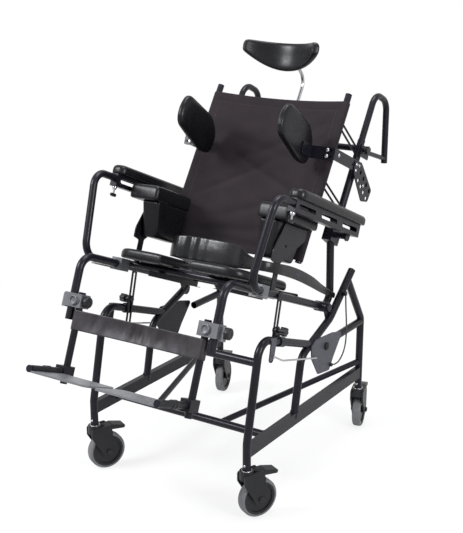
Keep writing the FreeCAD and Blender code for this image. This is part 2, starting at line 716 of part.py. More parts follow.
def make_seat_pad():
    """Padded seat with drawn-in edges, a crown and an aperture that opens to the front."""
    rim = SEAT_THICKNESS - SEAT_CROWN
    layers = (
        (8, 0.0), (2, 0.12 * rim), (0, 0.35 * rim), (0, 0.65 * rim), (4, 0.88 * rim), (12, rim),
        (70, SEAT_THICKNESS),
    )
    sections = []
    for inset, height in layers:
        points = [vec(x, u, SEAT_BOTTOM_V + height) for x, u in seat_outline(inset)]
        sections.append(rounded_face(points, SEAT_CORNER_RADIUS - inset / 2).OuterWire)
    pad = Part.makeLoft(sections, True, True)
    reach = (APERTURE_LENGTH - APERTURE_WIDTH) / 2
    low = SEAT_BOTTOM_V - 10
    height = SEAT_THICKNESS + 20
    ends = [vec(0, APERTURE_U + sign * reach, low) for sign in (-1, 1)]
    hole = block((-APERTURE_WIDTH / 2, APERTURE_WIDTH / 2), (ends[0].y, ends[1].y), (low, low + height))
    for end in ends:
        hole = hole.fuse(Part.makeCylinder(APERTURE_WIDTH / 2, height, end))
    half = FRONT_OPENING_WIDTH / 2
    mouth = block((-half, half), (SEAT_FRONT_U - 10, APERTURE_U), (low, low + height))
    return pad.cut(hole).cut(mouth)


def make_hip_guard():
    """Padded block on a tapered panel, and the bracket that stands on the seat rail."""
    panel_x = GUARD_INNER_X + 2
    outer_x = panel_x + GUARD_PANEL_WIDTH
    panel_outline = (
        (GUARD_FRONT_U + 20, GUARD_LEDGE_V), (GUARD_REAR_U - 6, GUARD_LEDGE_V),
        (GUARD_REAR_U - 20, GUARD_BOTTOM_V), (GUARD_FRONT_U + 46, GUARD_BOTTOM_V),
    )
    panel = side_plate(panel_outline, panel_x, GUARD_PANEL_WIDTH, 6)
    limits = (
        (GUARD_INNER_X, GUARD_INNER_X + GUARD_TOP_WIDTH),
        (GUARD_FRONT_U, GUARD_REAR_U),
        (GUARD_LEDGE_V, GUARD_TOP_V),
    )
    pad = block(*limits)
    pad = pad.makeFillet(9, pad.Edges)
    foot_u = GUARD_FRONT_U + 50
    bracket_outline = (
        (foot_u + 10, GUARD_LEDGE_V - 2), (GUARD_REAR_U + 4, GUARD_LEDGE_V - 2),
        (GUARD_REAR_U + 2, GUARD_LEDGE_V - 34), (foot_u + 26, 96), (foot_u + 26, 0),
        (foot_u, 0), (foot_u, 92), (foot_u - 30, 98), (foot_u - 30, 130),
    )
    hole = pin(outer_x, outer_x + GUARD_BRACKET, foot_u + 40, GUARD_BOTTOM_V + 46, GUARD_HOLE_D)
    bracket = side_plate(bracket_outline, outer_x, GUARD_BRACKET, 4)
    return panel.fuse(pad), bracket.cut(seat_rail_room).cut(hole)


# The belt from the middle to each anchor: distance from the middle, u, lower and upper edge.
# The left half passes in front of the hip guard and outside it, the right half inside it.
RAIL_SIDE_X = RAIL_X + TUBE_R
BELT_MIDDLE = (0, -316, 76, 134)
BELT_LEFT = (
    (70, -322, 76, 133), (125, -340, 72, 124), (GUARD_INNER_X - 16, -372, 64, 102),
    (RAIL_X - 40, -402, 60, 92),
    (RAIL_X - 8, -402, 60, 92), (RAIL_SIDE_X, -366, 61, 93), (RAIL_SIDE_X + 5, -300, 61, 96),
    (RAIL_SIDE_X + 6, -220, 58, 94), (RAIL_SIDE_X + 7, -130, 50, 84), (RAIL_SIDE_X + 6, -50, 42, 68),
    (RAIL_SIDE_X + 3, 16, 38, 60), (RAIL_SIDE_X + 1.9, 62, 36, 54),
)
BELT_RIGHT = (
    (70, -322, 76, 133), (GUARD_INNER_X - 70, -330, 75, 128), (GUARD_INNER_X - 33, -305, 72, 118),
    (GUARD_INNER_X - 16, -260, 68, 108), (GUARD_INNER_X - 8, -200, 62, 98),
    (GUARD_INNER_X + 2, -130, 54, 86),
    (RAIL_X - 52, -50, 46, 70), (RAIL_X - 27, 16, 40, 60), (RAIL_X - TUBE_R - 1.9, 62, 36, 54),
)


def make_pelvic_belt():
    """Flat belt lofted along its stations from the right anchor to the left one."""
    right = [(-x, u, low, high) for x, u, low, high in reversed(BELT_RIGHT)]
    stations = [*right, BELT_MIDDLE, *BELT_LEFT]
    sections = []
    for i, (x, u, low, high) in enumerate(stations):
        before = stations[max(i - 1, 0)]
        after = stations[min(i + 1, len(stations) - 1)]
        run = vec(after[0] - before[0], after[1] - before[1], 0).normalize()
        side = vec(-run.y, run.x, 0) * (BELT_THICKNESS / 2)
        middle = vec(x, u, 0)
        corners = [
            middle + side + Z_AXIS * low, middle + side + Z_AXIS * high,
            middle - side + Z_AXIS * high, middle - side + Z_AXIS * low,
        ]
        sections.append(Part.makePolygon(corners + corners[:1]))
    return Part.makeLoft(sections, True, True)


def make_arm_pin():
    """Pin through the upright that the arm swings on, with a collar beside the arm lug."""
    lug_x = ARM_X - CHANNEL_WIDTH / 2
    shank = pin(RAIL_X - TUBE_R - 1, lug_x + ARM_LUG, *ARM_PIN, ARM_PIN_D)
    return shank.fuse(pin(RAIL_X + TUBE_R + SEATED, lug_x - APART, *ARM_PIN, ARM_PIN_D + 8))


# Legrest

hanger_points = [
    vec(RAIL_X, RAIL_FRONT_U - 3, 0), vec(RAIL_X, HANGER_U, 0), vec(RAIL_X, HANGER_U, HANGER_END_V),
]
hanger_solid = bar(hanger_points, [HANGER_RADIUS], TUBE_D)


def make_hanger_socket():
    """Socket block on the front of the rail, with the rest that the arm foot lies on."""
    half = SOCKET_SIZE / 2
    front = RAIL_FRONT_U - SOCKET_LENGTH
    body = block((RAIL_X - half, RAIL_X + half), (front, RAIL_FRONT_U + SOCKET_GRIP), (-half, half))
    rest_top = -ARM_TUBE_D / 2 - APART
    foot_x = BASE_X + ARM_FOOT_OUTSET
    rest = block((RAIL_X + half, foot_x + 14), (ARM_FOOT_U - 4, front + 22), (rest_top - 4, rest_top))
    hole = Part.makeCylinder(TUBE_R + SEATED / 2, 200, vec(RAIL_X, front - 50, 0), Y_AXIS)
    return body.fuse(rest).cut(hole)


def make_length_clamp():
    """Clamp that holds the leg tube beside the hanger, with a front ring and an outer lever tab."""
    low = CLAMP_TOP_V - CLAMP_HEIGHT
    body = block((LEG_X - 17, RAIL_X + 19), (HANGER_U - 21, HANGER_U + 21), (low, CLAMP_TOP_V))
    middle = low + CLAMP_HEIGHT / 2
    ring = Part.makeCylinder(10, 3, vec(LEG_X, HANGER_U - 24, middle), Y_AXIS)
    ring = ring.cut(Part.makeCylinder(6, 1.5, vec(LEG_X, HANGER_U - 24, middle), Y_AXIS))
    tab_x = RAIL_X + 19
    tab = block((tab_x, tab_x + 14), (HANGER_U - 9, HANGER_U + 9), (low - 4, CLAMP_TOP_V - 4))
    leg_hole = Part.makeCylinder(LEG_TUBE_D / 2 + RUNNING, 80, vec(LEG_X, HANGER_U, low - 20))
    hanger_hole = Part.makeCylinder(TUBE_R + SEATED / 2, 80, vec(RAIL_X, HANGER_U, low - 20))
    return body.multiFuse([ring, tab]).cut(leg_hole).cut(hanger_hole)


FOOT_ROD_FRONT_U = HANGER_U - FOOT_BLOCK / 2 - FOOT_ROD_LENGTH - 22


def make_leg_tube():
    """Leg tube with its foot block and the rod that the footplate turns on."""
    ends = [vec(LEG_X, HANGER_U, LEG_TUBE_BOTTOM_V), vec(LEG_X, HANGER_U, LEG_TUBE_TOP_V)]
    half = FOOT_BLOCK / 2
    body = block(
        (LEG_X - half, LEG_X + half),
        (HANGER_U - half - 12, HANGER_U + half),
        (FOOT_ROD_V - half, FOOT_ROD_V + half),
    )
    rod_start = vec(LEG_X, HANGER_U - half - 12, FOOT_ROD_V)
    rod = bar([rod_start, vec(LEG_X, FOOT_ROD_FRONT_U, FOOT_ROD_V)], [], FOOT_ROD_D)
    cap_start = vec(LEG_X, FOOT_ROD_FRONT_U - FOOT_CAP, FOOT_ROD_V)
    cap = Part.makeCylinder(FOOT_CAP_D / 2, FOOT_CAP, cap_start, Y_AXIS)
    bore = bar(ends, [], LEG_TUBE_D - 2 * TUBE_WALL)
    return bar(ends, [], LEG_TUBE_D).fuse(body).cut(bore).multiFuse([rod, cap])


def make_calf_strap():
    """Strap that wraps both leg tubes and sags rearward between them."""
    low = STRAP_TOP_V - STRAP_HEIGHT
    inner_r = LEG_TUBE_D / 2 + SEATED
    outer_r = inner_r + STRAP_THICKNESS
    edges = []
    for offset in (inner_r, outer_r):
        left = vec(LEG_X, HANGER_U - offset, low)
        right = vec(-LEG_X, HANGER_U - offset, low)
        edges.append(Part.Arc(left, vec(0, HANGER_U - offset + STRAP_SAG, low), right).toShape())
    for x in (LEG_X, -LEG_X):
        ends = [vec(x, HANGER_U - offset, low) for offset in (inner_r, outer_r)]
        edges.append(Part.LineSegment(*ends).toShape())
    strap = Part.Face(Part.Wire(Part.__sortEdges__(edges))).extrude(Z_AXIS * STRAP_HEIGHT)
    for x in (LEG_X, -LEG_X):
        strap = strap.fuse(Part.makeCylinder(outer_r, STRAP_HEIGHT, vec(x, HANGER_U, low)))
    for x in (LEG_X, -LEG_X):
        strap = strap.cut(Part.makeCylinder(inner_r, STRAP_HEIGHT, vec(x, HANGER_U, low)))
    return strap


def make_footplate():
    """Plate with a barrel on the foot rod."""
    rear = HANGER_U - FOOT_BLOCK / 2 - 12 - APART
    barrel_front = vec(LEG_X, FOOT_ROD_FRONT_U + APART, FOOT_ROD_V)
    barrel = bar([barrel_front, vec(LEG_X, rear, FOOT_ROD_V)], [], FOOT_BARREL_D)
    front = rear - FOOTPLATE_DEPTH
    inner_x = FOOTPLATE_CENTRE_GAP / 2
    low = FOOT_ROD_V - FOOT_BARREL_D / 2
    outline = [
        vec(inner_x, front, low), vec(LEG_X, front, low), vec(LEG_X, rear, low), vec(inner_x, rear, low),
    ]
    plate = rounded_face(outline, 18).extrude(Z_AXIS * FOOTPLATE_THICKNESS)
    hole_ends = [vec(LEG_X, u, FOOT_ROD_V) for u in (front - 50, rear + 50)]
    hole = bar(hole_ends, [], FOOT_ROD_D + 2 * RUNNING)
    room_start = vec(LEG_X, FOOT_ROD_FRONT_U + APART - 80, FOOT_ROD_V)
    cap_room = Part.makeCylinder(FOOT_CAP_D / 2 + APART, 80, room_start, Y_AXIS)
    return plate.fuse(barrel).cut(hole).cut(cap_room)


# Back

def back_bar(x, low_s, high_s, n, diameter):
    return bar([back_point(x, low_s, n), back_point(x, high_s, n)], [], diameter)


def back_block(x, s, n):
    """Box that leans with the back."""
    corners = [back_point(x[0], a, b) for a, b in ((s[0], n[0]), (s[1], n[0]), (s[1], n[1]), (s[0], n[1]))]
    return Part.Face(Part.makePolygon(corners + corners[:1])).extrude(vec(x[1] - x[0], 0, 0))


SLEEVE_R = CANE_D / 2 + 2 * SEATED + SLING_THICKNESS
arm_pin_solid = make_arm_pin()


def make_back_frame():
    """Posts, canes, spacer rods, cross tube, headrest clamp, and the upright joints with the arm pins."""
    post_room = back_bar(RAIL_X, POST_BOTTOM_S, POST_TOP_S, POST_N, ROOM_D)
    post = back_bar(RAIL_X, POST_BOTTOM_S, POST_TOP_S, POST_N, TUBE_D)
    post = post.cut(back_bar(RAIL_X, POST_BOTTOM_S, POST_TOP_S, POST_N, TUBE_D - 2 * POST_WALL))
    post = post.cut(seat_rail_room)
    cane = back_bar(CANE_X, CANE_BOTTOM_S, CANE_TOP_S, CANE_N, CANE_D)
    cane = cane.cut(back_bar(CANE_X, CANE_BOTTOM_S, CANE_TOP_S, CANE_N, CANE_D - 2 * POST_WALL))
    sleeve = back_bar(CANE_X, CANE_BOTTOM_S, CANE_TOP_S, CANE_N, 2 * (SLEEVE_R + SEATED))
    joint = back_block((RAIL_X - 17, RAIL_X + 17), (POST_BOTTOM_S - 6, 30), (-22, POST_N + 17))
    pin_room = pin(0, BASE_X, *ARM_PIN, ARM_PIN_D + 2 * SEATED)
    collar_room = pin(RAIL_X + TUBE_R, BASE_X, *ARM_PIN, ARM_PIN_D + 8 + 2 * SEATED)
    joint = joint.cut(post_room).cut(seat_rail_room).cut(pin_room).cut(collar_room)
    pieces = [post, cane, joint, arm_pin_solid]
    for level in SPACER_LEVELS:
        for step in (0, SPACER_PAIR):
            at_cane = back_point(CANE_X, level + SPACER_RISE + step, CANE_N)
            at_post = back_point(RAIL_X, level + step, POST_N)
            pieces.append(bar([at_cane, at_post], [], SPACER_D).cut(sleeve).cut(post_room))
    cross_ends = [back_point(-RAIL_X, BACK_CROSS_S, POST_N), back_point(RAIL_X, BACK_CROSS_S, POST_N)]
    cross = tube(cross_ends, [], CANE_D, TUBE_WALL).cut(post_room).cut(mirrored(post_room))
    clamp = back_block((-20, 20), (BACK_CROSS_S - 20, BACK_CROSS_S + 20), (HEADREST_STEM_N - 18, POST_N))
    stem_d = HEADREST_STEM_D + 2 * RUNNING
    stem_hole = back_bar(0, BACK_CROSS_S - 60, BACK_CROSS_S + 60, HEADREST_STEM_N, stem_d)
    clamp = clamp.cut(stem_hole).cut(bar(cross_ends, [], CANE_D + 2 * SEATED))
    return (*pieces, *[mirrored(piece) for piece in pieces], cross, clamp)


def make_back_sling():
    """Fabric between the canes, sewn into a sleeve round each and sagging rearward."""
    height = SLING_TOP_S - SLING_BOTTOM_S
    rise = back_point(0, SLING_TOP_S, 0) - back_point(0, SLING_BOTTOM_S, 0)
    edges = []
    for offset in (SLEEVE_R, SLEEVE_R - SLING_THICKNESS):
        n = CANE_N - offset
        ends = [back_point(x, SLING_BOTTOM_S, n) for x in (CANE_X, -CANE_X)]
        middle = back_point(0, SLING_BOTTOM_S, n + SLING_SAG)
        edges.append(Part.Arc(ends[0], middle, ends[1]).toShape())
    for x in (CANE_X, -CANE_X):
        ends = [back_point(x, SLING_BOTTOM_S, CANE_N - r) for r in (SLEEVE_R, SLEEVE_R - SLING_THICKNESS)]
        edges.append(Part.LineSegment(*ends).toShape())
    sling = Part.Face(Part.Wire(Part.__sortEdges__(edges))).extrude(rise)
    for x in (CANE_X, -CANE_X):
        start = back_point(x, SLING_BOTTOM_S, CANE_N)
        sling = sling.fuse(Part.makeCylinder(SLEEVE_R, height, start, rise))
    for x in (CANE_X, -CANE_X):
        start = back_point(x, SLING_BOTTOM_S, CANE_N)
        sling = sling.cut(Part.makeCylinder(SLEEVE_R - SLING_THICKNESS, height, start, rise))
    return sling


LATERAL_SLOT_VS = [LATERAL_ARM_V + sign * LATERAL_SLOT_SPACING / 2 for sign in (-1, 1)]
BRACKET_X = RAIL_X + TUBE_R + 7
LATERAL_SCREW_X = BRACKET_X - 17


def make_lateral_bracket():
    """Perforated strap on the outside of the post, with a front flange and two slot screws."""
    flange_u = LATERAL_ARM_U + LATERAL_PLATE + APART
    post_u = back_point(0, 240, POST_N).y
    low = LATERAL_ARM_V - LATERAL_ARM_HEIGHT / 2
    high = LATERAL_ARM_V + LATERAL_ARM_HEIGHT / 2
    outline = (
        (flange_u, low + 4), (flange_u, high), (post_u + 10, high), (post_u + 120, low - 34),
        (post_u + 100, low - 58), (post_u - 20, low + 4),
    )
    strap = side_plate(outline, BRACKET_X, LATERAL_PLATE, 3)
    flange_limits = (BRACKET_X - 34, BRACKET_X + LATERAL_PLATE)
    flange = block(flange_limits, (flange_u, flange_u + LATERAL_PLATE), (low, high))
    spacer = block((RAIL_X, BRACKET_X), (post_u - 12, post_u + 12), (low + 8, high - 4))
    spacer = spacer.cut(back_bar(RAIL_X, 0, POST_TOP_S, POST_N, TUBE_D + 2 * SEATED))
    spacer = spacer.common(block((RAIL_X + 5, BRACKET_X), (-900, 900), (-900, 900)))
    bracket = strap.fuse(flange).fuse(spacer)
    for i in range(7):
        u, v = along((post_u - 60, LATERAL_ARM_V), (post_u + 96, low - 36), i / 6)
        bracket = bracket.cut(pin(BRACKET_X - 1, BRACKET_X + LATERAL_PLATE + 1, u, v, 9))
    for v in LATERAL_SLOT_VS:
        start = vec(LATERAL_SCREW_X, LATERAL_ARM_U - APART - 4, v)
        head = Part.makeCylinder(LATERAL_SCREW_HEAD_D / 2, 4, start, Y_AXIS)
        reach = flange_u - LATERAL_ARM_U + APART + 5
        shank = Part.makeCylinder(LATERAL_SCREW_D / 2, reach, start, Y_AXIS)
        bracket = bracket.fuse(head).fuse(shank)
    return bracket


def lateral_outline(x, scale):
    """Rounded outline of the lateral pad in its own plane."""
    half_l = LATERAL_LENGTH / 2 * scale
    half_h = LATERAL_HEIGHT / 2 * scale
    pitch = math.radians(LATERAL_PITCH)
    points = []
    for a, b in ((-0.86, 1), (0.55, 1), (1, 0.35), (1, -0.8), (0.5, -1), (-0.86, -0.62), (-1, 0)):
        along_pad = a * half_l
        up_pad = b * half_h
        u = LATERAL_CENTRE[0] + along_pad * math.cos(pitch) + up_pad * math.sin(pitch)
        v = LATERAL_CENTRE[1] - along_pad * math.sin(pitch) + up_pad * math.cos(pitch)
        points.append(vec(x, u, v))
    return rounded_face(points, 24 * scale).OuterWire


def make_lateral():
    """Trunk pad with drawn-in rims, and its slotted arm."""
    layers = ((0.8, 0.0), (0.97, 0.22), (1.0, 0.5), (0.96, 0.8), (0.86, 1.0))
    pad = Part.makeLoft(
        [lateral_outline(LATERAL_INNER_X + LATERAL_THICKNESS * share, scale) for scale, share in layers],
        True, False,
    )
    outer_x = LATERAL_INNER_X + LATERAL_THICKNESS
    low = LATERAL_ARM_V - LATERAL_ARM_HEIGHT / 2
    high = LATERAL_ARM_V + LATERAL_ARM_HEIGHT / 2
    rear_u = LATERAL_ARM_U + LATERAL_PLATE
    end_x = LATERAL_SCREW_X + LATERAL_SLOT / 2 + 8
    arm = block((outer_x, end_x), (LATERAL_ARM_U, rear_u), (low, high))
    arm = arm.fuse(block((outer_x, outer_x + LATERAL_PLATE), (LATERAL_ARM_U - 60, rear_u), (low, high)))
    slot_r = LATERAL_SLOT_D / 2
    slot_reach = LATERAL_SLOT / 2 - slot_r
    for v in LATERAL_SLOT_VS:
        ends = (LATERAL_SCREW_X - slot_reach, LATERAL_SCREW_X + slot_reach)
        slot = block(ends, (LATERAL_ARM_U - 1, rear_u + 1), (v - slot_r, v + slot_r))
        for x in ends:
            start = vec(x, LATERAL_ARM_U - 1, v)
            slot = slot.fuse(Part.makeCylinder(slot_r, LATERAL_PLATE + 2, start, Y_AXIS))
        arm = arm.cut(slot)
    return pad, arm


def make_headrest_stem():
    """Bright rod through the back clamp, bent forward to a ball."""
    bend = back_point(0, 540, HEADREST_STEM_N)
    tip = vec(0, *HEADREST_CENTRE)
    foot = back_point(0, BACK_CROSS_S - 50, HEADREST_STEM_N)
    rod = bar([foot, bend, tip], [HEADREST_BEND_RADIUS], HEADREST_STEM_D)
    return rod.fuse(Part.makeSphere(HEADREST_BALL_D / 2, tip))


def make_headrest_pad():
    """Curved pad with a flat top and a round lower edge, and the socket behind it."""
    lean = math.radians(HEADREST_LEAN)
    tip = vec(0, *HEADREST_CENTRE)
    up = vec(0, math.sin(lean), math.cos(lean))
    ahead = vec(0, -math.cos(lean), math.sin(lean))
    half = HEADREST_WIDTH / 2
    back_gap = HEADREST_BALL_D / 2 + HEADREST_BACK_ROOM
    top = HEADREST_HEIGHT * HEADREST_TOP_SHARE
    edge = HEADREST_HEIGHT * HEADREST_END_SHARE
    behind = tip - ahead * 40

    def front(x, rise):
        return behind + X_AXIS * x + up * rise

    left = front(half, edge)
    right = front(-half, edge)
    upper = [front(half - HEADREST_CORNER, top), front(HEADREST_CORNER - half, top)]
    lower_mid = front(0, top - HEADREST_HEIGHT)
    outline = Part.Wire([
        Part.Arc(right, lower_mid, left).toShape(),
        Part.Arc(left, front(half - 6, (top + edge) / 2 + 7), upper[0]).toShape(),
        Part.LineSegment(*upper).toShape(),
        Part.Arc(upper[1], front(6 - half, (top + edge) / 2 + 7), right).toShape(),
    ])
    prism = Part.Face(outline).extrude(ahead * 220)
    axis_point = tip + ahead * (back_gap + HEADREST_CURVE_RADIUS) - up * 150
    outer = Part.makeCylinder(HEADREST_CURVE_RADIUS, 300, axis_point, up)
    inner = Part.makeCylinder(HEADREST_CURVE_RADIUS - HEADREST_THICKNESS, 300, axis_point, up)
    shell = outer.cut(inner).common(prism)
    near_half = min(shell.Solids, key=lambda solid: abs((solid.CenterOfMass - tip).dot(ahead)))
    socket_end = tip - ahead * HEADREST_SOCKET_START
    socket_length = back_gap + HEADREST_SOCKET_START
    socket = Part.makeCylinder(HEADREST_SOCKET_D / 2, socket_length, socket_end, ahead).cut(outer)
    socket = socket.cut(Part.makeSphere(HEADREST_BALL_D / 2 + RUNNING, tip))
    return near_half, max(socket.Solids, key=lambda solid: solid.Volume)


def make_push_handle():
    """Loop that slides in the post, tied back to a clamp plate, with its star knob."""
    diameter = TUBE_D - 2 * POST_WALL - 2 * SLIDING
    lean = math.radians(BACK_ANGLE)
    start = back_point(RAIL_X, HANDLE_BOTTOM_S, POST_N)
    top_s = (HANDLE_TOP_V - ARM_PIN[1] + POST_N * math.sin(lean)) / math.cos(lean)
    tilt = math.radians(TILT_REST)
    climb = (HANDLE_TOP_V - HANDLE_END[1]) / math.cos(tilt)
    rear_top = vec(RAIL_X, HANDLE_END[0] - climb * math.sin(tilt), HANDLE_TOP_V)
    points = [start, back_point(RAIL_X, top_s, POST_N), rear_top, vec(RAIL_X, *HANDLE_END)]
    loop = tube(points, [HANDLE_RADIUS, HANDLE_RADIUS], diameter, POST_WALL)
    plate_x = RAIL_X + TUBE_R + APART
    post_u = back_point(0, HANDLE_BOTTOM_S, POST_N).y
    stub_v = HANDLE_END[1] + 14
    stub_ends = [vec(RAIL_X, HANDLE_END[0] - 4, stub_v), vec(RAIL_X, post_u + 46, stub_v - 16)]
    stub = bar(stub_ends, [], HANDLE_STUB_D)
    plate_side = plate_x + HANDLE_PLATE
    tie = block((RAIL_X - 7, plate_side), (post_u + 34, post_u + 50), (stub_v - 28, stub_v - 4))
    plate = block((plate_x, plate_side), (post_u - 16, post_u + 50), (stub_v - 44, stub_v - 4))
    knob_place = (post_u + 6, stub_v - 20)
    head_x = plate_side + HANDLE_KNOB_NECK
    head_end = head_x + HANDLE_KNOB_HEAD
    knob = pin(plate_side, head_x, *knob_place, 12).fuse(pin(head_x, head_end, *knob_place, HANDLE_KNOB_D))
    for lobe in range(5):
        angle = math.radians(72 * lobe)
        reach = HANDLE_KNOB_D / 2 + 2
        cut_u = knob_place[0] + reach * math.cos(angle)
        cut_v = knob_place[1] + reach * math.sin(angle)
        knob = knob.cut(pin(head_x, head_end, cut_u, cut_v, 10))
    return loop.fuse(stub).fuse(tie).fuse(plate), knob


# Arms

def make_arm_frame():
    """Bowed tube and slotted channel, with the lug that swings on the arm pin."""
    foot_x = BASE_X + ARM_FOOT_OUTSET
    points = [
        vec(foot_x, ARM_FOOT_U, 0), vec(foot_x, ARM_FRONT_U, 0),
        vec(ARM_X, ARM_FRONT_U, ARM_TOP_V), vec(ARM_X, CHANNEL_FRONT_U, ARM_TOP_V),
    ]
    bow = tube(points, [ARM_LOWER_RADIUS, ARM_UPPER_RADIUS], ARM_TUBE_D, TUBE_WALL)
    half = CHANNEL_WIDTH / 2
    shell = block(
        (ARM_X - half, ARM_X + half),
        (CHANNEL_FRONT_U, CHANNEL_REAR_U),
        (CHANNEL_BOTTOM_V, CHANNEL_TOP_V),
    )
    wall = CHANNEL_WALL
    core = block(
        (ARM_X - half + wall, ARM_X + half - wall),
        (CHANNEL_FRONT_U + wall, CHANNEL_REAR_U - wall),
        (CHANNEL_BOTTOM_V + wall, CHANNEL_TOP_V - wall),
    )
    channel = shell.cut(core)
    pitch = (CHANNEL_REAR_U - CHANNEL_FRONT_U) / CHANNEL_SLOTS
    middle_v = (CHANNEL_BOTTOM_V + CHANNEL_TOP_V) / 2
    for i in range(CHANNEL_SLOTS):
        start = CHANNEL_FRONT_U + pitch * (i + 0.18)
        ends = [(start, middle_v), (start + pitch * 0.64, middle_v)]
        channel = channel.cut(capsule(*ends, CHANNEL_SLOT_WIDTH, ARM_X - half, CHANNEL_WIDTH))
    lug_top = (ARM_PIN[0], CHANNEL_BOTTOM_V + 2)
    lug = capsule(ARM_PIN, lug_top, ARM_PIN_D + 18, ARM_X - half, ARM_LUG)
    hole = pin(ARM_X - half, ARM_X, *ARM_PIN, ARM_PIN_D + 2 * RUNNING)
    return channel.multiFuse([bow, lug.cut(core)]).cut(hole)


def make_arm_pad():
    """Firm pad with rounded rims on top of the channel."""
    low = CHANNEL_TOP_V + SEATED
    limits = (CHANNEL_FRONT_U + 4, CHANNEL_REAR_U + ARM_PAD_OVERHANG)
    half = ARM_PAD_WIDTH / 2
    layers = ((4, 0.0), (0, 0.25), (0, 0.6), (9, 1.0))
    sections = []
    for inset, share in layers:
        v = low + ARM_PAD_THICKNESS * share
        reach = half - inset
        points = [
            vec(ARM_X + reach, limits[0] + inset, v), vec(ARM_X + reach, limits[1] - inset, v),
            vec(ARM_X - reach, limits[1] - inset, v), vec(ARM_X - reach, limits[0] + inset, v),
        ]
        sections.append(rounded_face(points, ARM_PAD_CORNER_RADIUS - inset).OuterWire)
    return Part.makeLoft(sections, True, False)


def main():
    keep_pair("front_leg", make_front_leg())
    keep_pair("pivot_strut", make_pivot_strut())
    keep_pair("side_rail", make_side_rail())
    keep_pair("rear_frame", make_rear_frame())
    keep("cross_members", *make_cross_members())
    keep_pair("tilt_plate", *make_tilt_plate())
    keep_both("stay_clamps", make_stay_clamp())
    keep_both("pivot_bolts", make_pivot_bolt())
    keep("tilt_cable", *make_tilt_cable())
    keep_casters()
    keep_pair("tilt_stay", make_tilt_stay())
    keep_pair("stay_knob", make_stay_knob())

    keep_pair("seat_rail", seated(make_seat_rail()))
    keep("seat_underframe", *[seated(piece) for piece in make_seat_underframe()])
    keep("seat_pad", seated(make_seat_pad()))
    keep_pair("hip_guard", *[seated(piece) for piece in make_hip_guard()])
    keep("pelvic_belt", seated(make_pelvic_belt()))
    keep_both("leg_hangers", seated(tube(hanger_points, [HANGER_RADIUS], TUBE_D, TUBE_WALL)))
    keep_both("hanger_blocks", seated(make_hanger_socket()), seated(make_length_clamp()))
    keep_both("leg_tubes", seated(make_leg_tube()))
    keep("calf_strap", seated(make_calf_strap()))
    keep_pair("footplate", seated(make_footplate()))

    keep("back_frame", *[seated(piece) for piece in make_back_frame()])
    keep("back_sling", seated(make_back_sling()))
    keep_both("lateral_brackets", seated(make_lateral_bracket()))
    keep_pair("lateral", *[seated(piece) for piece in make_lateral()])
    keep("headrest_stem", seated(make_headrest_stem()))
    keep("headrest_pad", *[seated(piece) for piece in make_headrest_pad()])
    keep_pair("push_handle", *[seated(piece) for piece in make_push_handle()])

    keep_pair("arm_frame", seated(make_arm_frame()))
    keep_pair("arm_pad", seated(make_arm_pad()))

    os.makedirs("parts", exist_ok=True)
    for name, shape in PARTS.items():
        solids = shape.Solids
        volume = sum(solid.Volume for solid in solids)
        print("%-28s solids %2d valid %s volume %.0f" % (name, len(solids), shape.isValid(), volume))
        shape.exportStep("parts/%s.step" % name)


main()
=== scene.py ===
"""Looks of a tilting rehab shower chair: finishes, pads, sling, belt and straps around its frame."""

import logging
import math
from dataclasses import dataclass
from enum import Enum
from typing import Callable, Optional, Sequence, Union

import bmesh
import bpy
from mathutils import Matrix, Vector


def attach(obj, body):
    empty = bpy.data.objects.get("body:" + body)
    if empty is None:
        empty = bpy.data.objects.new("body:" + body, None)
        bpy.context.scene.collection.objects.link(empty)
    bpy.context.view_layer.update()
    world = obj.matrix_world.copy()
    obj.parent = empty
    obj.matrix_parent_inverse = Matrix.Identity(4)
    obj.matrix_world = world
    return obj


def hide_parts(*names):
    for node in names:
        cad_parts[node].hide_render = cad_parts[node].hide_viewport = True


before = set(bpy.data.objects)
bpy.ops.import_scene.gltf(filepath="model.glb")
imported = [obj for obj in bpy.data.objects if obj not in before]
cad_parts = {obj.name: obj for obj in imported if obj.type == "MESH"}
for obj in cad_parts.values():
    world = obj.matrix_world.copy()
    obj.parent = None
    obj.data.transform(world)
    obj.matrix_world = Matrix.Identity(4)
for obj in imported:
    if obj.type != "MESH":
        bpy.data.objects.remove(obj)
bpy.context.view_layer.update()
LOG = logging.getLogger("shower_chair")
MM = 0.001
NOISE_SPAN = (0.3, 0.7)
RUBBED_SPAN = (0.53, 0.6)
PLATE_RIM = 0.5 * MM
TURNED_EDGE = 0.4 * MM
MERGE_DISTANCE = 0.00001
WRAP_STEPS = 12
HALF_TRACK = 295.0
HALF_BASE = 375.0

Colour = tuple[float, float, float]
Place = tuple[float, float, float]
Pair = tuple[float, float]
Outline = list[Pair]
Ring = list[Vector]
Piece = bpy.types.Object
Socket = bpy.types.NodeSocket


class Side(Enum):
    """Sitter's left and right, with the sign of X on each."""

    LEFT = 1
    RIGHT = -1

    @property
    def word(self) -> str:
        """Name of the side in lower case."""
        return self.name.lower()


class Corner(Enum):
    """The four caster places."""

    FRONT_LEFT = "front_left"
    FRONT_RIGHT = "front_right"
    REAR_LEFT = "rear_left"
    REAR_RIGHT = "rear_right"


class Grain(Enum):
    """Kinds of fine surface relief."""

    ORANGE_PEEL = "orange peel"
    PEBBLE = "pebble"
    BRUSHED = "brushed"


# Finishes

def set_inputs(node: bpy.types.Node, values: dict[str, object]) -> None:
    """Give inputs of a node plain values."""
    for key, value in values.items():
        node.inputs[key].default_value = value


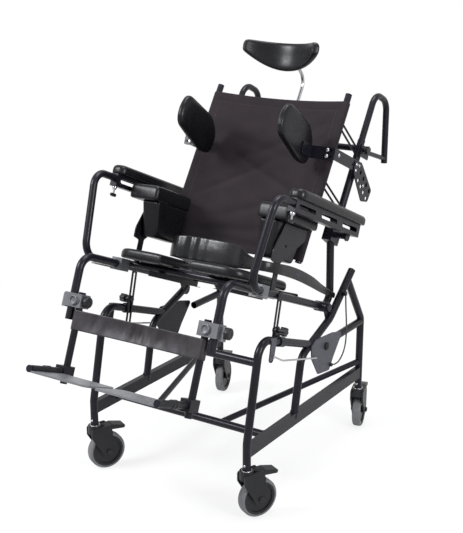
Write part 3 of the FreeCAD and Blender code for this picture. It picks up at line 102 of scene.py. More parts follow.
class Desk:
    """Node layout of one material."""

    def __init__(self, name: str) -> None:
        """Start a material with a principled shader.

        Args:
            name: Name of the material.
        """
        self.material = bpy.data.materials.new(name)
        self.material.use_nodes = True
        self.tree = self.material.node_tree
        self.shader = self.tree.nodes["Principled BSDF"]

    def node(self, kind: str, **settings: object) -> bpy.types.Node:
        """Add a node and set its properties.

        Args:
            kind: Blender's type name of the node.
            settings: Properties of the node.

        Returns:
            The new node.
        """
        made = self.tree.nodes.new(kind)
        for key, value in settings.items():
            setattr(made, key, value)
        return made

    def link(self, source: Socket, target: Socket) -> None:
        """Join an output to an input."""
        self.tree.links.new(source, target)

    def place(self, kind: str = "Object") -> Socket:
        """Coordinates in metres on the piece."""
        return self.node("ShaderNodeTexCoord").outputs[kind]

    def noise(self, place: Socket, size: float, detail: float = 3.0) -> Socket:
        """Noise from 0 to 1.

        Args:
            place: Coordinates in metres.
            size: Size of its patches in metres.
            detail: Number of finer layers.

        Returns:
            Socket that holds the noise.
        """
        made = self.node("ShaderNodeTexNoise")
        set_inputs(made, {"Scale": 1.0 / size, "Detail": detail})
        self.link(place, made.inputs["Vector"])
        return made.outputs["Fac"]

    def spread(self, value: Socket, low: float, high: float) -> Socket:
        """Stretch the middle of a noise to two limits."""
        made = self.node("ShaderNodeMapRange")
        start, end = NOISE_SPAN
        set_inputs(made, {"From Min": start, "From Max": end, "To Min": low, "To Max": high})
        self.link(value, made.inputs["Value"])
        return made.outputs["Result"]

    def blend(self, share: Socket, first: Colour, second: Colour) -> Socket:
        """Mix two colours by a socket from 0 to 1."""
        made = self.node("ShaderNodeMix", data_type="RGBA")
        made.inputs[6].default_value = (*first, 1.0)
        made.inputs[7].default_value = (*second, 1.0)
        self.link(share, made.inputs[0])
        return made.outputs[2]

    def paint(self, colour: Socket) -> None:
        """Use a socket as the base colour."""
        self.link(colour, self.shader.inputs["Base Color"])

    def relief(self, height: Socket, depth: float,
               under: Optional[bpy.types.Node] = None) -> bpy.types.Node:
        """Bump from a height socket.

        Args:
            height: Height from 0 to 1.
            depth: Full height in metres.
            under: Coarser bump that this one lies on.

        Returns:
            The bump node, already linked to the shader.
        """
        made = self.node("ShaderNodeBump")
        made.inputs["Distance"].default_value = depth
        self.link(height, made.inputs["Height"])
        if under is not None:
            self.link(under.outputs["Normal"], made.inputs["Normal"])
        self.link(made.outputs["Normal"], self.shader.inputs["Normal"])
        return made

    def math(self, operation: str, first: Socket, second: Union[Socket, float]) -> Socket:
        """Arithmetic on a socket and a number or another socket."""
        made = self.node("ShaderNodeMath", operation=operation)
        self.link(first, made.inputs[0])
        if isinstance(second, Socket):
            self.link(second, made.inputs[1])
        else:
            made.inputs[1].default_value = second
        return made.outputs[0]


@dataclass(frozen=True)
class Finish:
    """A hard finish: coated, moulded, cast or plain metal."""

    name: str
    colour: Colour
    worn: Colour
    roughness: float
    roughness_spread: float = 0.06
    metallic: float = 0.0
    specular: float = 0.5
    grain: Grain = Grain.ORANGE_PEEL
    grain_size: float = 1.2 * MM
    grain_depth: float = 0.006 * MM
    patch_size: float = 60 * MM
    edge_wear: float = 0.0

    def build(self) -> bpy.types.Material:
        """Lay out the nodes of the finish.

        Returns:
            The new material.
        """
        desk = Desk(self.name)
        place = desk.place()
        patches = desk.noise(place, self.patch_size)
        share = desk.spread(patches, 0.0, 0.6)
        if self.edge_wear:
            share = desk.math("ADD", share, self.edges(desk))
        desk.paint(desk.blend(share, self.colour, self.worn))
        mottle = desk.noise(place, self.patch_size / 6)
        low, high = self.roughness - self.roughness_spread, self.roughness + self.roughness_spread
        desk.link(desk.spread(mottle, low, high), desk.shader.inputs["Roughness"])
        set_inputs(desk.shader, {"Metallic": self.metallic, "Specular IOR Level": self.specular})
        desk.relief(self.fine(desk, place), self.grain_depth)
        return desk.material

    def edges(self, desk: Desk) -> Socket:
        """Paler colour along rubbed edges."""
        shape = desk.node("ShaderNodeNewGeometry")
        made = desk.node("ShaderNodeMapRange")
        start, end = RUBBED_SPAN
        set_inputs(made, {"From Min": start, "From Max": end, "To Max": self.edge_wear})
        desk.link(shape.outputs["Pointiness"], made.inputs["Value"])
        return made.outputs["Result"]

    def fine(self, desk: Desk, place: Socket) -> Socket:
        """Height of the fine grain.

        Args:
            desk: Material under way.
            place: Coordinates in metres.

        Returns:
            Socket from 0 to 1.
        """
        if self.grain is Grain.PEBBLE:
            cells = desk.node("ShaderNodeTexVoronoi", feature="SMOOTH_F1")
            cells.inputs["Scale"].default_value = 1.0 / self.grain_size
            desk.link(place, cells.inputs["Vector"])
            return cells.outputs["Distance"]
        if self.grain is Grain.BRUSHED:
            stretch = desk.node("ShaderNodeMapping")
            stretch.inputs["Scale"].default_value = (1.0, 0.04, 1.0)
            desk.link(place, stretch.inputs["Vector"])
            return desk.noise(stretch.outputs["Vector"], self.grain_size)
        return desk.noise(place, self.grain_size, 1.0)


@dataclass(frozen=True)
class Cloth:
    """A woven finish, laid out on the piece's own measured surface."""

    name: str
    colour: Colour
    # Colour of the lighter patches: random mottle on the sling and belt, painted highlights of the wrinkles
    # on the strap.
    shade: Colour
    roughness: float
    thread: float = 1.4 * MM
    thread_depth: float = 0.12 * MM
    sheen: float = 0.2
    sheen_roughness: float = 0.45
    specular: float = 0.3
    patch_size: float = 90 * MM
    crease_size: float = 35 * MM
    crease_depth: float = 0.9 * MM
    coat: float = 0.0
    coat_roughness: float = 0.2

    def build(self) -> bpy.types.Material:
        """Lay out weave, lighter patches and sheen; on the strap the lighter patches are painted highlights.

        Returns:
            The new material.
        """
        desk = Desk(self.name)
        place = desk.place("UV")
        warp = self.threads(desk, place, "X")
        weft = self.threads(desk, place, "Y")
        weave = desk.math("MULTIPLY", desk.math("ADD", warp, weft), 0.5)
        # Lighter patches: painted highlights on the strap, random mottle on the other cloths.
        patches = desk.spread(desk.noise(desk.place(), self.patch_size), 0.0, 0.75)
        dark = desk.math("MULTIPLY", desk.math("SUBTRACT", weave, 0.5), 0.3)
        desk.paint(desk.blend(desk.math("ADD", patches, dark), self.colour, self.shade))
        set_inputs(desk.shader, {"Roughness": self.roughness, "Specular IOR Level": self.specular,
                                 "Sheen Weight": self.sheen, "Sheen Roughness": self.sheen_roughness,
                                 "Coat Weight": self.coat, "Coat Roughness": self.coat_roughness})
        creases = desk.relief(desk.noise(desk.place(), self.crease_size, 2.0), self.crease_depth)
        desk.relief(weave, self.thread_depth, creases)
        return desk.material

    def threads(self, desk: Desk, place: Socket, direction: str) -> Socket:
        """One set of threads as a wave.

        Args:
            desk: Material under way.
            place: Measured surface coordinates.
            direction: X or Y of that surface.

        Returns:
            Socket from 0 to 1.
        """
        made = desk.node("ShaderNodeTexWave", wave_type="BANDS", bands_direction=direction)
        # Bands of scale 1 repeat every pi / 10.
        set_inputs(made, {"Scale": math.pi / (10 * self.thread), "Distortion": 0.6, "Detail": 1.0})
        desk.link(place, made.inputs["Vector"])
        return made.outputs["Fac"]


Look = Union[Finish, Cloth]

FRAME_COAT = Finish("black_powder_coat", (0.0052, 0.005, 0.0078), (0.0105, 0.01, 0.0155), 0.3, 0.05,
                    specular=0.17, edge_wear=0.35)
PLATE_COAT = Finish("slate_powder_coat", (0.042, 0.042, 0.053), (0.056, 0.056, 0.069), 0.45, specular=0.25)
MOULDED = Finish("black_moulded_nylon", (0.011, 0.011, 0.012), (0.02, 0.02, 0.022), 0.42, specular=0.18,
                 grain=Grain.PEBBLE, grain_size=0.9 * MM, edge_wear=0.35)
TYRE = Finish("grey_tyre_rubber", (0.11, 0.11, 0.115), (0.16, 0.16, 0.165), 0.6, specular=0.3,
              grain_size=2.5 * MM, grain_depth=0.04 * MM, patch_size=25 * MM)
HUB = Finish("dark_hub_nylon", (0.012, 0.012, 0.013), (0.024, 0.024, 0.026), 0.4, specular=0.2,
             grain=Grain.PEBBLE, grain_size=0.8 * MM, edge_wear=0.3)
CAST = Finish("cast_clamp", (0.075, 0.077, 0.084), (0.13, 0.132, 0.142), 0.42, metallic=0.4,
              grain_size=1.6 * MM, grain_depth=0.04 * MM, edge_wear=0.6)
STEEL = Finish("brushed_steel", (0.4, 0.4, 0.42), (0.52, 0.52, 0.54), 0.28, metallic=1.0,
               grain=Grain.BRUSHED, grain_size=0.6 * MM, grain_depth=0.02 * MM)
CHROME = Finish("bright_stem", (0.42, 0.42, 0.44), (0.5, 0.5, 0.52), 0.2, 0.04, metallic=1.0,
                grain_depth=0.01 * MM)
SKIN = Finish("black_foam_skin", (0.005, 0.005, 0.0062), (0.0105, 0.0105, 0.0125), 0.3, 0.05, specular=0.17,
              grain=Grain.PEBBLE, grain_size=1.3 * MM, patch_size=80 * MM)
PLATE = Finish("grey_footplate", (0.085, 0.087, 0.097), (0.14, 0.143, 0.155), 0.4, metallic=0.5,
               grain_size=2 * MM, grain_depth=0.03 * MM, edge_wear=0.8)
SHEATH = Finish("cable_sheath", (0.02, 0.02, 0.022), (0.035, 0.035, 0.038), 0.4, grain_size=3 * MM)
EYELET = Finish("blued_eyelet", (0.05, 0.055, 0.12), (0.08, 0.085, 0.16), 0.3, metallic=0.8,
                grain_size=0.5 * MM)
THREAD = Finish("sewing_thread", (0.02, 0.016, 0.018), (0.032, 0.027, 0.03), 0.7, grain_size=0.4 * MM)
SLING_CLOTH = Cloth("aubergine_sling", (0.0085, 0.0058, 0.0074), (0.016, 0.011, 0.0138), 0.85, sheen=0.04,
                    specular=0.2)
# The strap's small, strong lighter patches are painted highlights of its wrinkles.
STRAP_CLOTH = Cloth("black_strap", (0.0075, 0.0058, 0.0078), (0.03, 0.0255, 0.031), 0.45, thread=2.0 * MM,
                    sheen=0.05, patch_size=45 * MM)
BELT_CLOTH = Cloth("coated_belt", (0.006, 0.006, 0.0065), (0.013, 0.013, 0.0145), 0.22, thread=1.8 * MM,
                   thread_depth=0.06 * MM, sheen=0.0, specular=0.2, coat=0.04)

_BUILT: dict[str, bpy.types.Material] = {}


def finished(finish: Look) -> bpy.types.Material:
    """Material of a finish, made once."""
    if finish.name not in _BUILT:
        _BUILT[finish.name] = finish.build()
    return _BUILT[finish.name]


# Meshes

def put(name: str, data: bpy.types.ID) -> Piece:
    """Make an object of some data and link it to the scene."""
    piece = bpy.data.objects.new(name, data)
    bpy.context.scene.collection.objects.link(piece)
    return piece


def face_outward(mesh: bpy.types.Mesh, merge: float = 0.0) -> None:
    """Turn all faces outward, after merging points closer than a distance."""
    work = bmesh.new()
    work.from_mesh(mesh)
    if merge:
        bmesh.ops.remove_doubles(work, verts=work.verts, dist=merge)
    bmesh.ops.recalc_face_normals(work, faces=work.faces)
    work.to_mesh(mesh)
    work.free()


def ride_with(piece: Piece, body: str) -> Piece:
    """Fasten a piece to a body and report it."""
    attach(piece, body)
    LOG.info("%s rides on %s", piece.name, body)
    return piece


def run_lengths(points: Sequence[Vector]) -> list[float]:
    """Distance travelled from the first point to each one."""
    travelled = [0.0]
    for before, after in zip(points, points[1:]):
        travelled.append(travelled[-1] + (after - before).length)
    return travelled


def add_mesh(name: str, points: Sequence[Vector], faces: Sequence[Sequence[int]], finish: Look) -> Piece:
    """Make a smooth mesh object.

    Args:
        name: Name of the piece.
        points: Vertices in metres.
        faces: Vertex numbers of each face.
        finish: What it is made of.

    Returns:
        The linked object.
    """
    mesh = bpy.data.meshes.new(name)
    mesh.from_pydata([tuple(p) for p in points], [], [tuple(f) for f in faces])
    mesh.validate()
    face_outward(mesh)
    mesh.polygons.foreach_set("use_smooth", [True] * len(mesh.polygons))
    mesh.materials.append(finished(finish))
    return put(name, mesh)


def loft(name: str, rings: Sequence[Ring], finish: Look, ring_closed: bool = False) -> Piece:
    """Skin a row of closed rings.

    Args:
        name: Name of the piece.
        rings: Rings of equal length.
        finish: What it is made of.
        ring_closed: Whether the last ring joins the first; otherwise both ends are capped.

    Returns:
        The new piece.
    """
    count = len(rings[0])
    points = [p for ring in rings for p in ring]
    faces = []
    pairs = len(rings) if ring_closed else len(rings) - 1
    for i in range(pairs):
        a = i * count
        b = (i + 1) % len(rings) * count
        for j in range(count):
            k = (j + 1) % count
            faces.append((a + j, a + k, b + k, b + j))
    if not ring_closed:
        for start, ring in ((0, rings[0]), ((len(rings) - 1) * count, rings[-1])):
            middle = sum(ring, Vector()) / count
            points.append(middle)
            for j in range(count):
                faces.append((start + j, start + (j + 1) % count, len(points) - 1))
    return add_mesh(name, points, faces, finish)


def strip(name: str, rows: Sequence[Sequence[Vector]], thickness: float, finish: Look) -> Piece:
    """Thin sheet through rows of points, with measured surface coordinates.

    Args:
        name: Name of the piece.
        rows: Rows of points of equal length.
        thickness: Thickness of the sheet, half on each side of the rows.
        finish: What it is made of.

    Returns:
        The new piece.
    """
    count = len(rows[0])
    points = [p for row in rows for p in row]
    faces = []
    for i in range(len(rows) - 1):
        for j in range(count - 1):
            a = i * count + j
            faces.append((a, a + 1, a + count + 1, a + count))
    piece = add_mesh(name, points, faces, finish)
    across = run_lengths(rows[len(rows) // 2])
    down = run_lengths([row[count // 2] for row in rows])
    layer = piece.data.uv_layers.new(name="measured")
    for loop in piece.data.loops:
        i, j = divmod(loop.vertex_index, count)
        layer.data[loop.index].uv = (across[j], down[i])
    thick = piece.modifiers.new("thickness", "SOLIDIFY")
    thick.thickness = thickness
    thick.offset = 0.0
    thick.use_even_offset = True
    return piece


def soften(piece: Piece) -> Piece:
    """Add one level of subdivision."""
    smooth = piece.modifiers.new("smooth", "SUBSURF")
    smooth.levels = 1
    smooth.render_levels = 1
    return piece


def oval(half_x: float, half_y: float, power: float, count: int) -> Outline:
    """Rounded outline between an ellipse and a rectangle.

    Args:
        half_x: Half size along the first direction.
        half_y: Half size along the second direction.
        power: 2 for an ellipse, more for squarer corners.
        count: Number of points.

    Returns:
        Points about the origin.
    """
    points = []
    for i in range(count):
        angle = 2 * math.pi * i / count
        c, s = math.cos(angle), math.sin(angle)
        reach = (abs(c) ** power + abs(s) ** power) ** (-1.0 / power)
        points.append((half_x * c * reach, half_y * s * reach))
    return points


def circle(count: int, radius: float = 1.0, x: float = 0.0, y: float = 0.0) -> Outline:
    """Points round a circle."""
    return [(x + radius * c, y + radius * s) for c, s in oval(1, 1, 2.0, count)]


def rounded_box_outline(x: Pair, y: Pair, radius: float, steps: int) -> Outline:
    """Rectangle with arcs at its corners and a few points on each straight edge.

    Args:
        x: Limits along the first direction.
        y: Limits along the second direction.
        radius: Corner radius.
        steps: Points on each corner.

    Returns:
        Points in order round the outline.
    """
    corners = ((x[1], y[1], 0), (x[0], y[1], 90), (x[0], y[0], 180), (x[1], y[0], 270))
    edge_steps = 6
    points = []
    for cx, cy, turn in corners:
        mx = cx - radius if cx == x[1] else cx + radius
        my = cy - radius if cy == y[1] else cy + radius
        for i in range(steps):
            angle = math.radians(turn + 90 * i / (steps - 1))
            points.append((mx + radius * math.cos(angle), my + radius * math.sin(angle)))
    filled = []
    for i, p in enumerate(points):
        q = points[(i + 1) % len(points)]
        filled.append(p)
        if (i + 1) % steps == 0:
            for j in range(1, edge_steps):
                share = j / edge_steps
                filled.append((p[0] + (q[0] - p[0]) * share, p[1] + (q[1] - p[1]) * share))
    return filled


def smooth_points(points: Sequence[Vector], steps: int) -> list[Vector]:
    """Curve through points, as a Catmull-Rom spline.

    Args:
        points: Points that the curve passes.
        steps: Steps between two neighbours.

    Returns:
        Points along the curve.
    """
    padded = [points[0] * 2 - points[1], *points, points[-1] * 2 - points[-2]]
    curve = []
    for i in range(1, len(padded) - 2):
        a, b, c, d = padded[i - 1:i + 3]
        for j in range(steps):
            t = j / steps
            curve.append(0.5 * (2 * b + (c - a) * t + (2 * a - 5 * b + 4 * c - d) * t * t
                                + (3 * b - a - 3 * c + d) * t ** 3))
    curve.append(points[-1].copy())
    return curve


def stitch_row(name: str, path: Sequence[Vector], up: Vector) -> Piece:
    """Row of sewn stitches lying on a surface.

    Args:
        name: Name of the piece.
        path: Line of the seam.
        up: Unit direction out of the surface.

    Returns:
        The new piece.
    """
    pitch, length, radius = 6.5 * MM, 4.4 * MM, 0.55 * MM
    sides, shape = 6, ((-0.5, 0.35), (-0.3, 1.0), (0.3, 1.0), (0.5, 0.35))
    points, faces = [], []
    travelled, due = 0.0, 0.0
    for i in range(1, len(path)):
        step = (path[i] - path[i - 1]).length
        while due <= travelled + step and step > 0:
            share = (due - travelled) / step
            middle = path[i - 1].lerp(path[i], share)
            along = (path[i] - path[i - 1]).normalized()
            side = along.cross(up).normalized()
            start = len(points)
            for end, size in shape:
                for c, s in circle(sides):
                    points.append(middle + along * (end * length) + (side * c + up * s) * (radius * size))
            last = len(points) - sides
            for ring in range(start, last, sides):
                for k in range(sides):
                    a, b = ring + k, ring + (k + 1) % sides
                    faces.append((a, b, b + sides, a + sides))
            for cap in (start, last):
                faces.append(tuple(cap + k for k in range(sides)))
            due += pitch
        travelled += step
    return add_mesh(name, points, faces, THREAD)


def plate(name: str, outlines: Sequence[Sequence[Pair]], thickness: float, place: Matrix, body: str) -> None:
    """Flat coated plate with holes and a softened rim.

    Args:
        name: Name of the piece.
        outlines: Outer outline, then one for each hole, in millimetres.
        thickness: Full thickness in millimetres.
        place: Where its plane lies.
        body: Body that it rides on.
    """
    curve = bpy.data.curves.new(name, "CURVE")
    curve.dimensions = "2D"
    curve.fill_mode = "BOTH"
    curve.extrude = thickness * MM / 2 - PLATE_RIM
    curve.bevel_depth = PLATE_RIM
    curve.bevel_resolution = 2
    curve.offset = -PLATE_RIM
    for outline in outlines:
        line = curve.splines.new("POLY")
        line.points.add(len(outline) - 1)
        for point, (x, y) in zip(line.points, outline):
            point.co = (x * MM, y * MM, 0.0, 1.0)
        line.use_cyclic_u = True
    holder = put(name + "_outline", curve)
    bpy.context.view_layer.update()
    mesh = bpy.data.meshes.new_from_object(holder.evaluated_get(bpy.context.evaluated_depsgraph_get()))
    bpy.data.objects.remove(holder)
    mesh.transform(place)
    mesh.materials.clear()
    mesh.materials.append(finished(FRAME_COAT))
    face_outward(mesh, MERGE_DISTANCE)
    ride_with(put(name, mesh), body)


def slot_outline(x: Pair, y: float, radius: float) -> Outline:
    """Slot with round ends along the first direction."""
    points = []
    steps = 8
    for centre, turn in ((x[1] - radius, -90), (x[0] + radius, 90)):
        for i in range(steps + 1):
            angle = math.radians(turn + 180 * i / steps)
            points.append((centre + radius * math.cos(angle), y + radius * math.sin(angle)))
    return points


def round_corners(points: Sequence[Pair], radius: float) -> Outline:
    """Outline with each corner rounded by a soft curve."""
    rounded = []
    count, steps = len(points), 6
    for i in range(count):
        corner = Vector(points[i])
        back = (Vector(points[i - 1]) - corner).normalized()
        ahead = (Vector(points[(i + 1) % count]) - corner).normalized()
        a, b = corner + back * radius, corner + ahead * radius
        for j in range(steps + 1):
            t = j / steps
            rounded.append(tuple(a.lerp(corner, t).lerp(corner.lerp(b, t), t)))
    return rounded


def torus(name: str, centre: Vector, axis: Vector, radius: float, thickness: float, finish: Look, body: str,
          ripple: float = 0.0) -> None:
    """Ring round an axis, with a rippled surface where it is a weld bead.

    Args:
        name: Name of the piece.
        centre: Middle of the ring.
        axis: Direction through the ring.
        radius: Radius to the middle of its section, in millimetres.
        thickness: Radius of its section, in millimetres.
        finish: What it is made of.
        body: Body that it rides on.
        ripple: Share by which the section swells and shrinks.
    """
    first = axis.orthogonal().normalized()
    second = axis.cross(first).normalized()
    steps, section_points, ripples = 48, 10, 12
    rings = []
    for i in range(steps):
        angle = 2 * math.pi * i / steps
        out = first * math.cos(angle) + second * math.sin(angle)
        size = thickness * MM * (1 + ripple * math.sin(ripples * angle))
        rings.append([centre + out * (radius * MM + size * c) + axis.normalized() * (size * s)
                      for c, s in circle(section_points)])
    ride_with(loft(name, rings, finish, ring_closed=True), body)


def turned(name: str, start: Vector, axis: Vector, profile: Sequence[Pair], finish: Look, body: str,
           sides: int = 28) -> Piece:
    """Solid of revolution, or a prism where it has few sides, that rides on a body.

    Args:
        name: Name of the piece.
        start: Point on the axis that distances start from.
        axis: Direction of the axis.
        profile: Distance along the axis and radius of each ring, in millimetres.
        finish: What it is made of.
        body: Body that it rides on.
        sides: Points round each ring.

    Returns:
        The new piece.
    """
    ahead = axis.normalized()
    first = ahead.orthogonal().normalized()
    second = ahead.cross(first)
    rings = []
    for distance, radius in profile:
        middle = start + ahead * (distance * MM)
        rings.append([middle + (first * c + second * s) * (radius * MM) for c, s in circle(sides)])
    piece = loft(name, rings, finish)
    bevel = piece.modifiers.new("edges", "BEVEL")
    bevel.width = TURNED_EDGE
    bevel.segments = 2
    bevel.limit_method = "ANGLE"
    return ride_with(piece, body)


def cushion(name: str, rings: Sequence[Ring], body: str, node: Optional[str]) -> None:
    """Padded piece with a foam skin.

    Args:
        name: Name of the piece.
        rings: Rings that it is skinned over.
        body: Body that it rides on.
        node: Node that it stands for, if any.
    """
    pad = soften(loft(name, rings, SKIN))
    if node is not None:
        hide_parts(node)
    ride_with(pad, body)


def wrapped_line(half: float, level: float, reach: float, turn: float, between: Sequence[Pair]) -> Outline:
    """Line that wraps round two tubes and crosses between them.

    Args:
        half: Distance of each tube from the middle.
        level: Depth of the tubes' middles.
        reach: Radius of the line round a tube.
        turn: Angle of each wrap in degrees.
        between: Points from the left tube to the right one.

    Returns:
        Points from behind the left tube to behind the right one.
    """
    wrap = []
    for i in range(WRAP_STEPS + 1):
        angle = math.radians(turn * i / WRAP_STEPS)
        wrap.append((reach * math.sin(angle), level - reach * math.cos(angle)))
    left = [(half + x, depth) for x, depth in reversed(wrap)]
    right = [(-half - x, depth) for x, depth in wrap]
    return [*left, *between, *right]


def dress(node: str, finish: Look) -> None:
    """Give a frame node one finish."""
    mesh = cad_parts[node].data
    mesh.materials.clear()
    mesh.materials.append(finished(finish))


def root_of(group: list[int], i: int) -> int:
    """Lowest link of the group that a point belongs to."""
    while group[i] != i:
        group[i] = group[group[i]]
        i = group[i]
    return i


def dress_solids(node: str, finish: Look, choose: Callable[[Vector, Vector], Optional[Look]]) -> None:
    """Give the separate solids of a frame node finishes of their own.

    Args:
        node: Name of the node.
        finish: Finish of the solids that are not chosen.
        choose: Gives a finish from a solid's lowest and highest corner, or nothing.
    """
    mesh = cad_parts[node].data
    dress(node, finish)
    group = list(range(len(mesh.vertices)))
    spots: dict[tuple[int, int, int], int] = {}
    for vertex in mesh.vertices:
        spot = tuple(round(c * 1e6) for c in vertex.co)
        group[vertex.index] = spots.setdefault(spot, vertex.index)
    for face in mesh.polygons:
        first = root_of(group, face.vertices[0])
        for other in face.vertices[1:]:
            group[root_of(group, other)] = first
    solids: dict[int, list[int]] = {}
    for face in mesh.polygons:
        solids.setdefault(root_of(group, face.vertices[0]), []).append(face.index)
    for faces in solids.values():
        corners = [mesh.vertices[v].co for f in faces for v in mesh.polygons[f].vertices]
        low = Vector([min(c[i] for c in corners) for i in range(3)])
        high = Vector([max(c[i] for c in corners) for i in range(3)])
        chosen = choose(low, high)
        if chosen is None:
            continue
        material = finished(chosen)
        if material.name not in mesh.materials:
            mesh.materials.append(material)
        number = mesh.materials.find(material.name)
        for f in faces:
            mesh.polygons[f].material_index = number


# Places

@dataclass(frozen=True)
class SeatPlane:
    """The tilted seat: x across, u rearward along the seat and v square to it, in millimetres."""

    pivot_y: float = 130.0
    pivot_z: float = 530.0
    tilt: float = 22.0
    back_lean: float = 11.0
    arm_pin_u: float = -28.0
    arm_pin_v: float = 238.25

    def point(self, x: float, u: float, v: float) -> Vector:
        """Point in metres from seat millimetres."""
        angle = math.radians(self.tilt)
        y = self.pivot_y + u * math.cos(angle) + v * math.sin(angle)
        z = self.pivot_z - u * math.sin(angle) + v * math.cos(angle)
        return Vector((x, y, z)) * MM

    def direction(self, x: float, u: float, v: float) -> Vector:
        """Direction from seat components."""
        return (self.point(x, u, v) - self.point(0, 0, 0)).normalized()

    def back(self, x: float, s: float, n: float) -> Vector:
        """Point on the leaning back: s up along it and n rearward from it."""
        lean = math.radians(self.back_lean)
        u = self.arm_pin_u + s * math.sin(lean) + n * math.cos(lean)
        v = self.arm_pin_v + s * math.cos(lean) - n * math.sin(lean)
        return self.point(x, u, v)


SEAT = SeatPlane()


# Sub-assemblies

@dataclass
class Sided:
    """Piece that is there once on each side of the seat."""

    side: Side

    def named(self, word: str) -> str:
        """Name with the side at its end."""
        return f"{word}_{self.side.word}"

    def at(self, x: float, u: float, v: float) -> Vector:
        """Point on this side in metres."""
        return SEAT.point(self.side.value * x, u, v)

    def out(self) -> Vector:
        """Direction away from the middle."""
        return Vector((self.side.value, 0, 0))

    def box_ring(self, x: Pair, u: Pair, v: float, radius: float) -> Ring:
        """Ring of a box with rounded corners, at a height over the seat."""
        return [self.at(a, b, v) for a, b in rounded_box_outline(x, u, radius, 7)]

    def side_place(self, x: float) -> Matrix:
        """Place of a plate that faces sideways: its first direction is u and its second is v."""
        first = SEAT.direction(0, 1, 0)
        second = SEAT.direction(0, 0, 1)
        turn = Matrix((first, second, first.cross(second))).transposed().to_4x4()
        return Matrix.Translation(self.at(x, 0, 0)) @ turn


@dataclass
class Base:
    """Wheeled tube frame with its tilt plates and clamps."""

    strut_foot: Pair = (-87.7, 242.6)
    strut_lean: float = 0.12
    crossbar: Pair = (-262.0, 228.3)
    rail_half_width: float = 10.3
    bead_radius: float = 13.2
    bead_thickness: float = 1.7
    bead_ripple: float = 0.2
    leg_front: float = 12.2
    button_z: float = 178.0
    plate_face: float = 311.9
    plate_bolt: Pair = (87.0, 413.0)
    rod_width: float = 7.0
    rod_length: float = 200.0
    rod_height: float = 120.0
    small_length: float = 40.0

    def dress(self) -> None:
        """Finish the tubes, plates, clamps and bolts."""
        for name in ("front_leg", "pivot_strut", "side_rail", "rear_frame"):
            for side in Side:
                dress(f"{name}_{side.word}", FRAME_COAT)
        dress("cross_members", FRAME_COAT)
        dress("stay_clamps", FRAME_COAT)
        dress("pivot_bolts", MOULDED)
        for side in Side:
            coat = PLATE_COAT if side is Side.LEFT else FRAME_COAT
            dress_solids(f"tilt_plate_{side.word}", coat, self.plate_piece)
            dress(f"tilt_stay_{side.word}", FRAME_COAT)
            dress(f"stay_knob_{side.word}", MOULDED)
            self.beads(side)
            self.buttons(side)
            self.dome(side)

    def beads(self, side: Side) -> None:
        """Weld beads at the strut foot and the lower crossbar."""
        sign = side.value
        foot = Vector((sign * HALF_TRACK, *self.strut_foot)) * MM
        end = Vector((sign * (HALF_TRACK - self.rail_half_width), *self.crossbar)) * MM
        welds = (("strut", foot, (0, self.strut_lean, 1)), ("crossbar", end, (1, 0, 0)))
        for word, centre, axis in welds:
            torus(f"weld_{word}_{side.word}", centre, Vector(axis), self.bead_radius, self.bead_thickness,
                  FRAME_COAT, "base", self.bead_ripple)

    def buttons(self, side: Side) -> None:
        """Bright spring buttons in the feet of the legs."""
        profile = ((0, 4.2), (1.6, 4.0), (2.6, 3.0), (3.1, 1.2))
        for word, y in (("front", -HALF_BASE), ("rear", HALF_BASE)):
            start = Vector((side.value * HALF_TRACK, y - self.leg_front, self.button_z)) * MM
            turned(f"leg_button_{word}_{side.word}", start, Vector((0, -1, 0)), profile, STEEL, "base")

    def dome(self, side: Side) -> None:
        """Domed cap over the bolt of the tilt plate."""
        start = Vector((side.value * self.plate_face, *self.plate_bolt)) * MM
        profile = ((0, 13), (4.5, 13), (7.5, 11), (9.2, 7), (9.8, 2.5))
        turned(f"plate_cap_{side.word}", start, Vector((side.value, 0, 0)), profile, MOULDED, "base")

    def plate_piece(self, low: Vector, high: Vector) -> Optional[Finish]:
        """Steel for the lock rod and moulded nylon for the small solids beside the tilt plate."""
        size = (high - low) / MM
        if size.x < self.rod_width and size.y > self.rod_length and size.z < self.rod_height:
            return STEEL
        if size.y < self.small_length:
            return MOULDED
        return None


@dataclass
class TiltCable:
    """Sheathed cable from a ferrule on the left tilt plate up to a clip on the open tube."""

    x: float = 316.3
    plate_face: float = 311.8
    tube_face: float = 305.5
    diameter: float = 5.0
    length: float = 311.0
    route: tuple[Pair, ...] = ((118, 338), (150, 328), (188, 337), (216, 366), (225, 412), (221, 466),
                               (213, 518), (209, 566))
    clip_half: float = 7.0
    clip_z: Pair = (-12.0, 2.0)
    clip_corner: float = 2.5

    def build(self) -> None:
        """Run the cable along its route and add its two fittings."""
        curve = bpy.data.curves.new("tilt_cable_line", "CURVE")
        curve.dimensions = "3D"
        curve.bevel_depth = self.diameter / 2 * MM
        curve.bevel_resolution = 4
        curve.use_fill_caps = True
        line = curve.splines.new("NURBS")
        line.points.add(len(self.route) - 1)
        for point, (y, z) in zip(line.points, self.route):
            point.co = (self.x * MM, y * MM, z * MM, 1.0)
        line.order_u = 3
        line.use_endpoint_u = True
        line.resolution_u = 12
        curve.materials.append(finished(SHEATH))
        cable = put("tilt_cable_sheath", curve)
        ferrule, clip = self.ferrule(), self.clip()
        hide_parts("tilt_cable")
        for piece in (cable, clip):
            ride_with(piece, "base")

    def ferrule(self) -> Piece:
        """Round end fitting on the plate."""
        start = Vector((self.plate_face, *self.route[0])) * MM
        profile = ((0, 7.0), (2, 7.0), (2, 6.0), (7.5, 6.0), (8.5, 4.8))
        return turned("cable_ferrule", start, Vector((1, 0, 0)), profile, MOULDED, "base")

    def clip(self) -> Piece:
        """Block that holds the upper end on the tube."""
        y, z = self.route[-1]
        rings = []
        for x, inset in ((self.tube_face, 0.0), (318.6, 0.0), (319.8, 0.5), (320.3, 2.0)):
            outline = rounded_box_outline((y - self.clip_half + inset, y + self.clip_half - inset),
                                          (z + self.clip_z[0] + inset, z + self.clip_z[1] - inset),
                                          self.clip_corner, 5)
            rings.append([Vector((x, a, b)) * MM for a, b in outline])
        return loft("cable_clip", rings, MOULDED)


